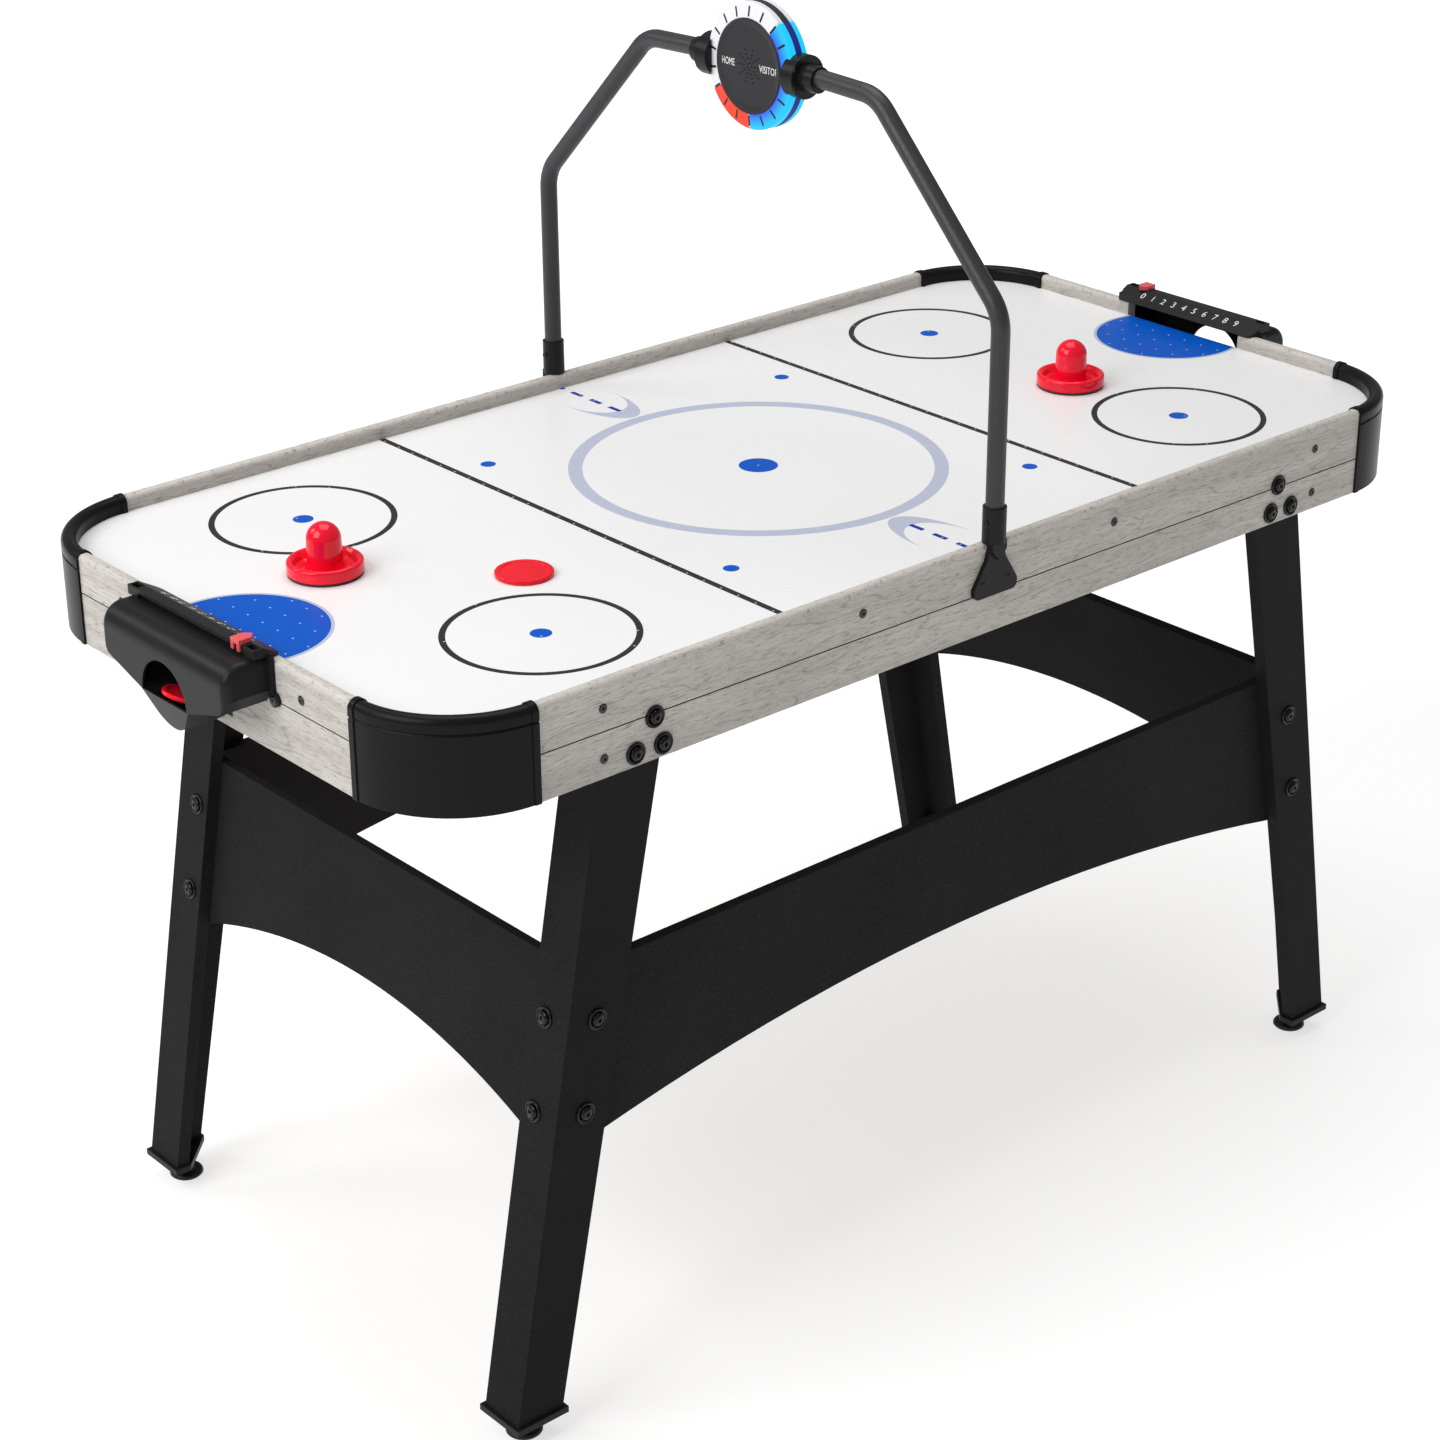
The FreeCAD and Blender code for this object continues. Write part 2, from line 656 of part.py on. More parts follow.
def make_legs():
    foot_x, head_x = leg_x("leg_foot"), leg_x(LEG_HEAD)
    front_board = padded(
        "leg_long_board", "XZ_Plane",
        [
            (f"{foot_x} - leg_wide_foot", "leg_foot"),
            (foot_x, "leg_foot"),
            (head_x, LEG_HEAD),
            (f"{head_x} - leg_wide_head", LEG_HEAD),
        ],
        "leg_board", ("0", OUTER_LEG_Y, "0"),
    )
    end_board = padded(
        "leg_end_board", "XZ_Plane",
        [
            (f"{foot_x} - {BOARD_ACROSS}", "leg_foot"),
            (foot_x, "leg_foot"),
            (head_x, LEG_HEAD),
            (f"{head_x} - {BOARD_ACROSS}", LEG_HEAD),
        ],
        "leg_side - leg_board", ("0", f"{OUTER_LEG_Y} - leg_board", "0"),
    )
    holes = []
    drill = ("bolt_shank + 0.2", "leg_board + 2")
    for out, up in APRON_BOLTS:
        at = (out, f"{OUTER_LEG_Y} - leg_board - 1", up)
        holes.append(cylinder("leg_hole", at, *drill, "y"))
    side, end = panel_bolt_places()
    for x, y, z in side:
        holes.append(cylinder("leg_hole", (x, f"{y} - leg_board - 1", z), *drill, "y"))
    holes += [slanted_hole(place_of, "leg_board + 2") for place_of in end]
    first = cut("leg_back_right", fuse("leg_blank", [front_board, end_board]), holes)
    node("leg_back_right", first)
    spread_to_corners("leg", first)


def slanted_hole(point, depth):
    """A hole square to the leaning end face of a leg, from just outside it inwards."""
    hole = doc.addObject("Part::Cylinder", "slanted_hole")
    bind(hole, {"Radius": "bolt_shank + 0.2", "Height": depth})
    x, y, z = point
    return place(hole, (f"{x} + 1", y, f"{z} + leg_slope"), (0, 1, 0), f"-90 - {SPLAY}")


def spread_to_corners(name, first):
    """The same piece at the other three corners."""
    front = node(f"{name}_front_right", mirrored(f"{name}_front_right", first, (0, 1, 0)))
    for side, source in (("back", first), ("front", front)):
        label = f"{name}_{side}_left"
        node(label, mirrored(label, source, (1, 0, 0)))


FOOT_X = f"({leg_x('leg_foot')} - foot_inset)"
FOOT_Y = f"({OUTER_LEG_Y} - foot_inset)"


def make_caps():
    """End cap of a leg: an L-shaped plate with a cut corner, and a boss for the leveller."""
    out_x, out_y = f"({leg_x('leg_foot')} + cap_proud)", f"({OUTER_LEG_Y} + cap_proud)"
    in_x = f"({leg_x('leg_foot')} - leg_wide_foot - cap_proud)"
    in_y = f"({OUTER_LEG_Y} - leg_side - cap_proud)"
    heel = "(leg_board + cap_proud)"
    plate = padded(
        "cap_plate", "XY_Plane",
        [
            (out_x, out_y),
            (in_x, out_y),
            (in_x, f"{out_y} - {heel}"),
            (f"{out_x} - {heel}", in_y),
            (out_x, in_y),
        ],
        "cap_thick", ("0", "0", "leg_foot - cap_thick"),
    )
    boss = cylinder("cap_boss", (FOOT_X, FOOT_Y, "leg_foot - 1"), "cap_boss", "cap_boss_tall")
    thread = cylinder(
        "cap_thread", (FOOT_X, FOOT_Y, "leg_foot - cap_thick - 1"),
        "foot_thread + fit_gap", "cap_thick + cap_boss_tall + 2",
    )
    first = cut("cap_back_right", fuse("cap_blank", [plate, boss]), [thread])
    front = mirrored("cap_front_right", first, (0, 1, 0))
    caps = [first, front]
    caps += [mirrored(cap.Name + "_left", cap, (1, 0, 0)) for cap in (first, front)]
    node("leg_caps", group("leg_caps", caps))


def make_levellers():
    underside = "leg_foot - cap_thick"
    first = turned(
        "leveler_back_right",
        [
            ("0", "0"),
            ("foot_disc - 2", "0"),
            ("foot_disc", "2", "4", 1),
            ("foot_disc - 2", "foot_disc_tall"),
            ("foot_neck + 3", "foot_disc_tall"),
            ("foot_neck", "foot_disc_tall + 3"),
            ("foot_neck", f"{underside} - 0.2"),
            ("foot_thread", f"{underside} - 0.2"),
            ("foot_thread", "leg_foot + cap_boss_tall + 3"),
            ("0", "leg_foot + cap_boss_tall + 3"),
        ],
        (FOOT_X, FOOT_Y, "0"),
    )
    node("leveler_back_right", first)
    spread_to_corners("leveler", first)


# --------------------------------------------------------------------------- lower panels


def make_side_panels():
    """Long panels behind the legs' long faces, arched underneath."""
    inset = f"({BOARD_ACROSS} + 0.5)"
    end_top = f"({leg_x('panel_top')} - {inset})"
    end_foot = f"({leg_x('panel_foot')} - {inset})"
    rise = "(panel_crown - panel_foot)"
    flat = "46"
    span = f"({end_foot} - {flat})"
    arch = f"({span} * {span} + {rise} * {rise}) / (2 * {rise})"
    corners = [
        (f"-{end_top}", "panel_top"),
        (f"-{end_foot}", "panel_foot"),
        (f"-{span}", "panel_foot", arch, -1),
        (span, "panel_foot"),
        (end_foot, "panel_foot"),
        (end_top, "panel_top"),
    ]
    at = ("0", f"{OUTER_LEG_Y} - leg_board", "0")
    blank = padded("side_panel_blank", "XZ_Plane", corners, "panel_thick", at)
    holes = []
    for sign in (-1, 1):
        for x, y, z in panel_bolt_places()[0]:
            at = (f"{sign} * ({x})", f"{y} - leg_board - panel_thick - 1", z)
            hole = cylinder("panel_hole", at, "bolt_shank + 0.2", "panel_thick + 2", "y")
            holes.append(hole)
    back = node("side_panel_back", cut("side_panel_back", blank, holes))
    node("side_panel_front", mirrored("side_panel_front", back, (0, 1, 0)))


def make_end_panels():
    """Panels behind the legs' leaning end faces, built upright and then leaned."""
    stretch = "sqrt(1 + leg_slope * leg_slope)"
    half = f"({OUTER_LEG_Y} - leg_board - panel_thick - 0.5)"
    top, foot = f"(panel_top * {stretch})", f"(panel_foot * {stretch})"
    crown = f"(panel_crown * {stretch})"
    flat = "20"
    span, rise = f"({half} - {flat})", f"({crown} - {foot})"
    arch = f"({span} * {span} + {rise} * {rise}) / (2 * {rise})"
    corners = [
        (f"-{half}", top),
        (f"-{half}", foot),
        (f"-{span}", foot, arch, -1),
        (span, foot),
        (half, foot),
        (half, top),
    ]
    owner = padded("end_panel_blank", "YZ_Plane", corners, "panel_thick")
    inner = f"{leg_x('0')} - {BOARD_ACROSS} - panel_thick * {stretch}"
    place(owner, (inner, "0", "0"), (0, 1, 0), f"-{SPLAY}")
    holes = []
    for sign in (-1, 1):
        for x, y, z in panel_bolt_places()[1]:
            holes.append(slanted_hole((x, f"{sign} * ({y})", z), "leg_board + panel_thick + 3"))
    right = node("end_panel_right", cut("end_panel_right", owner, holes))
    node("end_panel_left", mirrored("end_panel_left", right, (1, 0, 0)))


# --------------------------------------------------------------------------- frame fasteners


def apron_bolt_spots():
    """Bolts through the side aprons into the legs: three at each corner."""
    spots = []
    for sx in (-1, 1):
        for sy in (-1, 1):
            for out, up in APRON_BOLTS:
                point = (sx * SIZE[out], sy * SIZE["half_width"], SIZE[up])
                spots.append(spot(point, (0, sy, 0)))
    return spots


def panel_bolt_spots():
    """Bolts through the legs into the panels: two in each of a leg's faces."""
    spots = []
    side, end = panel_bolt_places()
    for sx in (-1, 1):
        for sy in (-1, 1):
            for x, y, z in side:
                point = (sx * number(x), sy * number(y), number(z))
                spots.append(spot(point, (0, sy, 0)))
            for x, y, z in end:
                point = (sx * number(x), sy * number(y), number(z))
                spots.append(spot(point, (sx * math.cos(LEAN), 0, math.sin(LEAN))))
    return spots


def bolt_outline(shank):
    """A domed head with a hexagon-key recess on a plain shank, seated on its washer."""
    return [
        ("0", f"-({shank})"),
        ("bolt_shank", f"-({shank})"),
        ("bolt_shank", "washer_thick"),
        ("bolt_head", "washer_thick"),
        ("bolt_head", "washer_thick + 0.8", "7.5", 1),
        ("3", "washer_thick + 3.6"),
        ("2.3", "washer_thick + 3.6"),
        ("2.3", "washer_thick + 1.8"),
        ("0", "washer_thick + 1.8"),
    ]


def behind(spots, depth):
    """The same places, moved in behind the boards."""
    back = FreeCAD.Placement(FreeCAD.Vector(0, 0, -depth), FreeCAD.Rotation())
    return [place_of.multiply(back) for place_of in spots]


def make_bolts():
    long_shank = "apron_thick + leg_board + nut_thick + 1"
    short_shank = "leg_board + panel_thick - 0.5"
    long_bolt = turned("long_bolt", bolt_outline(long_shank))
    short_bolt = turned("short_bolt", bolt_outline(short_shank))
    washer = turned(
        "washer_pattern_piece",
        [
            ("bolt_shank + 0.3", "0"),
            ("washer_radius", "0"),
            ("washer_radius", "washer_thick * 0.6"),
            ("washer_radius - 1.2", "washer_thick"),
            ("bolt_shank + 0.3", "washer_thick"),
        ],
    )
    nut_hex = doc.addObject("Part::Prism", "nut_hex")
    nut_hex.Polygon = 6
    bind(nut_hex, {"Circumradius": "nut_radius", "Height": "nut_thick"})
    nut_hex.recompute()
    bore = cylinder("nut_bore", ("0", "0", "-1"), "bolt_shank + 0.02", "nut_thick + 2")
    nut = cut("nut_pattern_piece", nut_hex, [bore])
    insert = turned(
        "insert_pattern_piece",
        [
            ("bolt_shank + 0.3", "0"),
            ("nut_radius - 0.8", "0"),
            ("nut_radius - 0.8", "1.6"),
            ("bolt_shank + 0.3", "1.6"),
        ],
    )
    through_apron, through_leg = apron_bolt_spots(), panel_bolt_spots()
    bolts = [
        copies("apron_bolts", long_bolt, through_apron),
        copies("panel_bolts", short_bolt, through_leg),
    ]
    node("frame_bolts", group("frame_bolts", bolts))
    node("frame_washers", copies("frame_washers", washer, through_apron + through_leg))
    apron_stack = SIZE["apron_thick"] + SIZE["leg_board"]
    panel_stack = SIZE["leg_board"] + SIZE["panel_thick"]
    nuts = [
        copies("apron_nuts", nut, behind(through_apron, apron_stack + SIZE["nut_thick"])),
        copies("panel_inserts", insert, behind(through_leg, panel_stack + 1.6)),
    ]
    node("frame_nuts", group("frame_nuts", nuts))


def make_apron_screws():
    """Wood screws set flush in the aprons and in the goal boxes' ears."""
    recess = [("screw_head - 1.2", "0.9"), ("1.3", "0.9"), ("1.3", "-0.4"), ("0", "-0.4")]
    screw = turned("screw_pattern_piece", screw_outline("0") + recess)
    side, end, ears = screw_spots()
    node("apron_screws", copies("apron_screws", screw, side + end + ears))


# --------------------------------------------------------------------------- goals

FACE = "half_length"


def from_face(out):
    """How far along the table a place on the goal unit is, out from the end apron."""
    return f"({FACE} + ({out}))"


def below(drop):
    return f"(rail_top - ({drop}))"


def goal_form(label, inset, back):
    """The goal box's own form, or its hollow: a rounded box that runs down into a tray.

    It is what three outlines have in common: the section across the box, its front and
    the soft edges round its ends.
    """
    half = f"(box_half - {inset})"
    front, crest = f"(box_deep - {inset})", f"(rail_top + box_rise - {inset})"
    radius = f"(box_round - {inset})"
    deep = below(f"tray_drop - {inset} * 1.3")
    section = padded(
        label + "_section", "XZ_Plane",
        [
            (from_face(back), deep),
            (from_face(f"tray_nose - {inset}"), deep),
            (from_face(front), below("lip_drop")),
            (from_face(front), f"{crest} - {radius}", radius, 1),
            (from_face(f"{front} - {radius}"), crest),
            (from_face(back), crest),
        ],
        f"2 * {half}", ("0", half, "0"),
    )
    end, start = number(half), number(from_face(back))
    soft = rounded(
        label + "_soft", section, f"end_round - {inset}",
        lambda edge, middle: same(abs(middle.y), end) and middle.x > start + 1,
    )
    sag = "(tray_drop - foot_drop - 0.5)"
    tip = f"((foot_half * foot_half + {sag} * {sag}) / (2 * {sag}) - {inset})"
    reach, rise = f"(foot_half - {inset} * 0.79)", below(f"foot_drop - {inset} * 0.61")
    lip, slant = below(f"lip_drop - {inset}"), below(f"slant_drop - {inset}")
    front_view = padded(
        label + "_front", "YZ_Plane",
        [
            (f"-{half} - 1", f"{crest} + 1"),
            (f"-{half} - 1", below("box_shoulder")),
            (f"-{half}", below("box_shoulder")),
            (f"-(slant_half - {inset} * 0.6)", slant),
            (f"-(lip_corner - {inset} * 0.6)", lip),
            (f"-{reach}", rise, tip, 1),
            (reach, rise),
            (f"lip_corner - {inset} * 0.6", lip),
            (f"slant_half - {inset} * 0.6", slant),
            (half, below("box_shoulder")),
            (f"{half} + 1", below("box_shoulder")),
            (f"{half} + 1", f"{crest} + 1"),
        ],
        "box_deep + 4", (from_face(back), "0", "0"),
    )
    return common(label + "_form", [soft, front_view])


def make_goal_boxes():
    shell = goal_form("goal", "0", "0")
    flange = box(
        "goal_flange",
        (FACE, "-ear_out", below("26")),
        (from_face("4"), "ear_out", "rail_top + box_rise"),
    )
    parts = [shell, flange]
    for sign in (-1, 1):
        parts.append(
            cylinder(
                "goal_ear", (FACE, f"{sign} * ear_out", below("ear_drop")), "ear_radius", "4", "x"
            )
        )
        near, far = f"{sign} * (ear_out - ear_radius)", f"{sign} * ear_out"
        edge = (near, far) if sign > 0 else (far, near)
        low, high = (FACE, edge[0], below("ear_drop")), (from_face("4"), edge[1], below("26"))
        parts.append(box("goal_ear_web", low, high))
    tray = box(
        "goal_tray",
        (from_face("-tray_back + 0.2"), "-(slot_half - 0.2)", below("tray_drop - 11.2")),
        (from_face("0.01"), "slot_half - 0.2", below("mouth_sill + 0.2")),
    )
    ledge = box(
        "goal_ledge",
        (from_face("-tray_back + 0.2"), "-(mouth_half - 0.2)", below("mouth_sill - 0.2")),
        (from_face("2"), "mouth_half - 0.2", below("mouth_sill - 2.7")),
    )
    neck = box(
        "goal_neck",
        (from_face("-tray_back + 0.2"), "-(slot_half - 0.2)", below("mouth_sill + 0.4")),
        (from_face("2"), "slot_half - 0.2", below("mouth_sill - 0.3")),
    )
    solid = fuse("goal_solid", parts + [tray, ledge, neck])
    hollow = goal_form("goal_inside", "box_wall", "-2")
    well = box(
        "goal_well",
        (from_face("-tray_back + 2.2"), "-(slot_half - 2.2)", below("tray_drop - 13.2")),
        (FACE, "slot_half - 2.2", "rail_top - mouth_sill + 8"),
    )
    throat = box(
        "goal_throat",
        (from_face("-3"), "-(mouth_half - 0.2)", below("mouth_sill - 2.7")),
        (from_face("6"), "mouth_half - 0.2", "rail_top + box_rise - box_wall"),
    )
    window_round = cylinder(
        "goal_window_round", (from_face("36"), "0", below("lip_drop - 1")), "lip_half", "20", "x"
    )
    window_limit = box(
        "goal_window_limit",
        (from_face("35"), "-60", below("lip_drop")),
        (from_face("60"), "60", "rail_top"),
    )
    window = common("goal_window", [window_round, window_limit])
    holes = screw_holes("goal_ear_screws", screw_spots()[2])
    right = cut("goal_box_right", solid, [hollow, well, throat, window, holes])
    node("goal_box_right", right)
    node("goal_box_left", half_turn("goal_box_left", right))


def make_score_rails():
    top = "(rail_top + score_rise)"
    section = [
        (from_face("-score_in"), "rail_top"),
        (FACE, "rail_top"),
        (FACE, "rail_top + box_rise"),
        (from_face("score_out"), "rail_top + box_rise"),
        (from_face("score_out"), top),
        (from_face("score_ridge"), top),
        (from_face("-score_in"), "rail_top + 0.8"),
    ]
    block = padded("score_block", "XZ_Plane", section, "2 * score_half", ("0", "score_half", "0"))
    plan = padded(
        "score_plan", "XY_Plane",
        [
            (from_face("-score_in - 1"), "-(score_half - 9)"),
            (from_face("-score_in + 4"), "-(score_half - 3)"),
            (from_face("1"), "-score_half"),
            (from_face("score_out + 1"), "-score_half"),
            (from_face("score_out + 1"), "score_half"),
            (from_face("1"), "score_half"),
            (from_face("-score_in + 4"), "score_half - 3"),
            (from_face("-score_in - 1"), "score_half - 9"),
        ],
        "40", ("0", "0", "rail_top - 10"),
    )
    undercut = box(
        "score_undercut",
        (from_face("score_out - 5"), "-track_half", "rail_top + box_rise - 1"),
        (from_face("score_out + 1"), "track_half", f"{top} - track_thick"),
    )
    pockets = []
    for sign in (-1, 1):
        near, far = f"{sign} * (track_half + 2)", f"{sign} * (score_half - 2.5)"
        edge = (near, far) if sign > 0 else (far, near)
        low = (from_face("score_ridge + 1.5"), edge[0], f"{top} - 5.5")
        pockets.append(box("score_pocket", low, (from_face("score_out - 2"), edge[1], f"{top} + 1")))
    core = box(
        "score_core",
        (from_face("2.5"), "-(mouth_half - 6)", "rail_top + box_rise - 1"),
        (from_face("score_out - 7.5"), "mouth_half - 6", f"{top} - 2.5"),
    )
    blank = common("score_blank", [block, plan])
    right = cut("score_rail_right", blank, pockets + [core, undercut])
    node("score_rail_right", right)
    node("score_rail_left", half_turn("score_rail_left", right))


def make_score_markers():
    """A little arrow that lies on the rail and hooks over its outer lip with two legs."""
    top = "(rail_top + score_rise)"
    arrow = padded(
        "marker_arrow", "XY_Plane",
        [
            (from_face("0.5"), "0"),
            (from_face("7"), "-marker_half"),
            (from_face("score_out + 2.4"), "-marker_half"),
            (from_face("score_out + 2.4"), "marker_half"),
            (from_face("7"), "marker_half"),
        ],
        "4.6", ("0", "marker_zero", f"{top} + 0.3"),
    )
    legs = []
    for sign in (-1, 1):
        near, far = f"marker_zero + {sign} * 2.6", f"marker_zero + {sign} * marker_half"
        edge = (near, far) if sign > 0 else (far, near)
        low = (from_face("score_out + 0.4"), edge[0], f"{top} - track_thick - 1.6")
        legs.append(box("marker_leg", low, (from_face("score_out + 2.4"), edge[1], f"{top} + 1")))
    right = fuse("score_marker_right", [arrow] + legs)
    node("score_marker_right", right)
    node("score_marker_left", half_turn("score_marker_left", right))


def make_goal_sensors():
    """A light gate in each goal: two small housings that face each other."""
    sensors = []
    for end, way in ENDS:
        for sign in (-1, 1):
            wall = f"{sign} * (box_half - box_wall)"
            eye = f"{sign} * (box_half - box_wall - 9)"
            edge = (eye, wall) if sign > 0 else (wall, eye)
            near, far = f"{way} * ({FACE} + 10)", f"{way} * ({FACE} + 24)"
            span = (near, far) if way > 0 else (far, near)
            low, high = (span[0], edge[0], below("26")), (span[1], edge[1], below("14"))
            case = box(f"sensor_{end}", low, high)
            at = (f"{way} * ({FACE} + 17)", f"{eye} - {1.5 if sign > 0 else 0.5}", below("20"))
            lens = cylinder(f"sensor_lens_{end}", at, "2.5", "2", "y")
            sensors.append(fuse(f"sensor_unit_{end}", [case, lens]))
    node("goal_sensors", group("goal_sensors", sensors))


# --------------------------------------------------------------------------- overhead arch

ARCH_Y = "half_width"
POD_Z = "(rail_top + pod_up)"


def make_brackets():
    foot = "(rail_top + 1)"
    socket = cylinder("bracket_socket", ("0", ARCH_Y, foot), "socket_radius", "socket_top - 1")
    plate = padded(
        "bracket_plate", "XZ_Plane",
        [
            ("-9.5", foot),
            ("-9.5", below("4")),
            ("-13", below("16")),
            ("-plate_half", below("43")),
            ("-plate_half", below("47"), "7", 1),
            ("-(plate_half - 7)", below("plate_drop")),
            ("plate_half - 7", below("plate_drop"), "7", 1),
            ("plate_half", below("47")),
            ("plate_half", below("43")),
            ("13", below("16")),
            ("9.5", below("4")),
            ("9.5", foot),
        ],
        "plate_thick", ("0", "half_width + plate_thick", "0"),
    )
    neck = padded(
        "bracket_neck", "XZ_Plane",
        [
            ("-9.5", f"{foot} + 3"),
            ("-9.5", below("6")),
            ("0", below("17")),
            ("9.5", below("6")),
            ("9.5", f"{foot} + 3"),
        ],
        "plate_thick + 4", ("0", "half_width + plate_thick + 4", "0"),
    )
    bore = cylinder(
        "bracket_bore", ("0", ARCH_Y, "rail_top + 6"), "tube_radius", "socket_top"
    )
    cutters = [bore]
    for sign in (-1, 1):
        at = (f"{sign} * 17.6", "half_width - 1", below("38"))
        cutters.append(cylinder("bracket_hole", at, "1.6", "plate_thick + 2", "y"))
    at = (f"-(socket_radius + 1)", ARCH_Y, "rail_top + 23")
    cutters.append(cylinder("bracket_collar_hole", at, "1.6", "socket_radius - tube_radius + 2", "x"))
    back = cut("arch_bracket_back", fuse("bracket_solid", [socket, plate, neck]), cutters)
    node("arch_bracket_back", back)
    node("arch_bracket_front", mirrored("arch_bracket_front", back, (0, 1, 0)))


def tube_path(owner):
    """The tube's centre line in its own plane: up, a bend, a slope, a bend, and inwards."""
    start = number("rail_top + 6.2")
    corner = [
        ("0", "arch_shoulder - 6.2"),
        ("-(half_width - arch_crown_in)", "arch_crown - 6.2"),
    ]
    last = (
        "-(half_width - clamp_face - 2)",
        "arch_crown - 6.2 + arch_lean * (arch_crown_in - clamp_face - 2)",
    )
    sketch = owner.newObject("Sketcher::SketchObject", owner.Name + "_path")
    plane = [f for f in owner.Origin.OriginFeatures if f.Role == "YZ_Plane"][0]
    sketch.AttachmentSupport = [(plane, "")]
    sketch.MapMode = "FlatFace"
    stops = [FreeCAD.Vector(0, 0, 0)]
    stops += [FreeCAD.Vector(number(y), number(z), 0) for y, z in corner + [last]]
    bend = SIZE["tube_bend"]
    begin = stops[0]
    for index in (1, 2):
        back = (stops[index - 1] - stops[index]).normalize()
        ahead = (stops[index + 1] - stops[index]).normalize()
        half = back.getAngle(ahead) / 2
        reach = bend / math.tan(half)
        middle = (back + ahead).normalize() * (bend / math.sin(half) - bend)
        a, b = stops[index] + back * reach, stops[index] + ahead * reach
        sketch.addGeometry(Part.LineSegment(begin, a), False)
        sketch.addGeometry(Part.Arc(a, stops[index] + middle, b), False)
        begin = b
    sketch.addGeometry(Part.LineSegment(begin, stops[3]), False)
    for index in range(4):
        end = sketch.getPoint(index, 2)
        if index % 2 == 0:
            near = 1 if sketch.getPoint(index + 1, 1).distanceToPoint(end) < 1e-6 else 2
            rule = ("Tangent", index, 2, index + 1, near)
        else:
            start_point = sketch.getPoint(index + 1, 1)
            near = 1 if sketch.getPoint(index, 1).distanceToPoint(start_point) < 1e-6 else 2
            rule = ("Tangent", index, near, index + 1, 1)
        sketch.addConstraint(Sketcher.Constraint(*rule))
    for index in (1, 3):
        rule = Sketcher.Constraint("Radius", index, bend)
        bind(sketch, {f"Constraints[{sketch.addConstraint(rule)}]": "tube_bend"})
    sketch.addConstraint(Sketcher.Constraint("Coincident", 0, 1, -1, 1))
    for (y, z), lines in zip(corner, ((0, 2), (2, 4))):
        mark = sketch.addGeometry(Part.Point(FreeCAD.Vector(number(y), number(z), 0)), True)
        for line in lines:
            sketch.addConstraint(Sketcher.Constraint("PointOnObject", mark, 1, line))
        for kind, text in (("DistanceX", y), ("DistanceY", z)):
            if text == "0":
                sketch.addConstraint(Sketcher.Constraint("Vertical", 0))
                continue
            rule = Sketcher.Constraint(kind, -1, 1, mark, 1, number(text))
            bind(sketch, {f"Constraints[{sketch.addConstraint(rule)}]": text})
    for kind, text in (("DistanceX", last[0]), ("DistanceY", last[1])):
        rule = Sketcher.Constraint(kind, -1, 1, 4, 2, number(text))
        bind(sketch, {f"Constraints[{sketch.addConstraint(rule)}]": text})
    sketch.recompute()
    return sketch, start


def make_tubes():
    owner = body("arch_tube_back")
    path, _ = tube_path(owner)
    ring = owner.newObject("Sketcher::SketchObject", "arch_tube_ring")
    plane = [f for f in owner.Origin.OriginFeatures if f.Role == "XY_Plane"][0]
    ring.AttachmentSupport = [(plane, "")]
    ring.MapMode = "FlatFace"
    for index, text in enumerate(("tube_radius - 0.05", "tube_radius - tube_wall")):
        circle = Part.Circle(FreeCAD.Vector(0, 0, 0), FreeCAD.Vector(0, 0, 1), number(text))
        ring.addGeometry(circle, False)
        ring.addConstraint(Sketcher.Constraint("Coincident", index, 3, -1, 1))
        rule = Sketcher.Constraint("Radius", index, number(text))
        bind(ring, {f"Constraints[{ring.addConstraint(rule)}]": text})
    ring.recompute()
    pipe = owner.newObject("PartDesign::AdditivePipe", "arch_tube_sweep")
    pipe.Profile = ring
    pipe.Spine = path
    pipe.recompute()
    back = node("arch_tube_back", finish_body(owner, ("0", ARCH_Y, "rail_top + 6.2")))
    node("arch_tube_front", mirrored("arch_tube_front", back, (0, 1, 0)))


def make_clamps():
    """A saddle that takes the tube's end on one side and hugs the pod's rim on the other."""
    crown = "(rail_top + arch_crown + arch_lean * (arch_crown_in - clamp_face - 2))"
    flange = cylinder(
        "clamp_flange", ("0", "clamp_in", POD_Z), "clamp_radius", "clamp_face - clamp_in", "y"
    )
    neck = cone(
        "clamp_neck", ("0", "clamp_face", POD_Z), "clamp_radius - 7.6", "tube_radius + 3.6",
        "clamp_end - clamp_face", "y",
    )
    room = cylinder("clamp_room", ("-13.4", "0", POD_Z), "pod_radius + 0.2", "26.8", "x")
    slit = cylinder("clamp_slit", ("-1.6", "0", POD_Z), "pod_radius + 0.2", "3.2", "x")
    start = "clamp_face + 0.2"
    bore = cylinder("clamp_bore", ("0", start, f"{crown} - 0.3"), "tube_radius + 0.6", "40", "y")
    holes = []
    for sx in (-1, 1):
        for sz in (-1, 1):
            at = (f"{sx} * 15.5", "clamp_face - 6", f"{POD_Z} + {sz} * 10")
            holes.append(cylinder("clamp_hole", at, "1.5", "10", "y"))
    solid = fuse("clamp_solid", [flange, neck])
    back = cut("pod_clamp_back", solid, [fuse("clamp_rooms", [room, slit]), bore] + holes)
    node("pod_clamp_back", back)
    node("pod_clamp_front", mirrored("pod_clamp_front", back, (0, 1, 0)))


def facing(label, corners):
    """An outline in (radius, depth) revolved about the pod's own axis, towards +X."""
    return turned(label, corners, ("0", "0", POD_Z), "360", (0, 1, 0), "90")


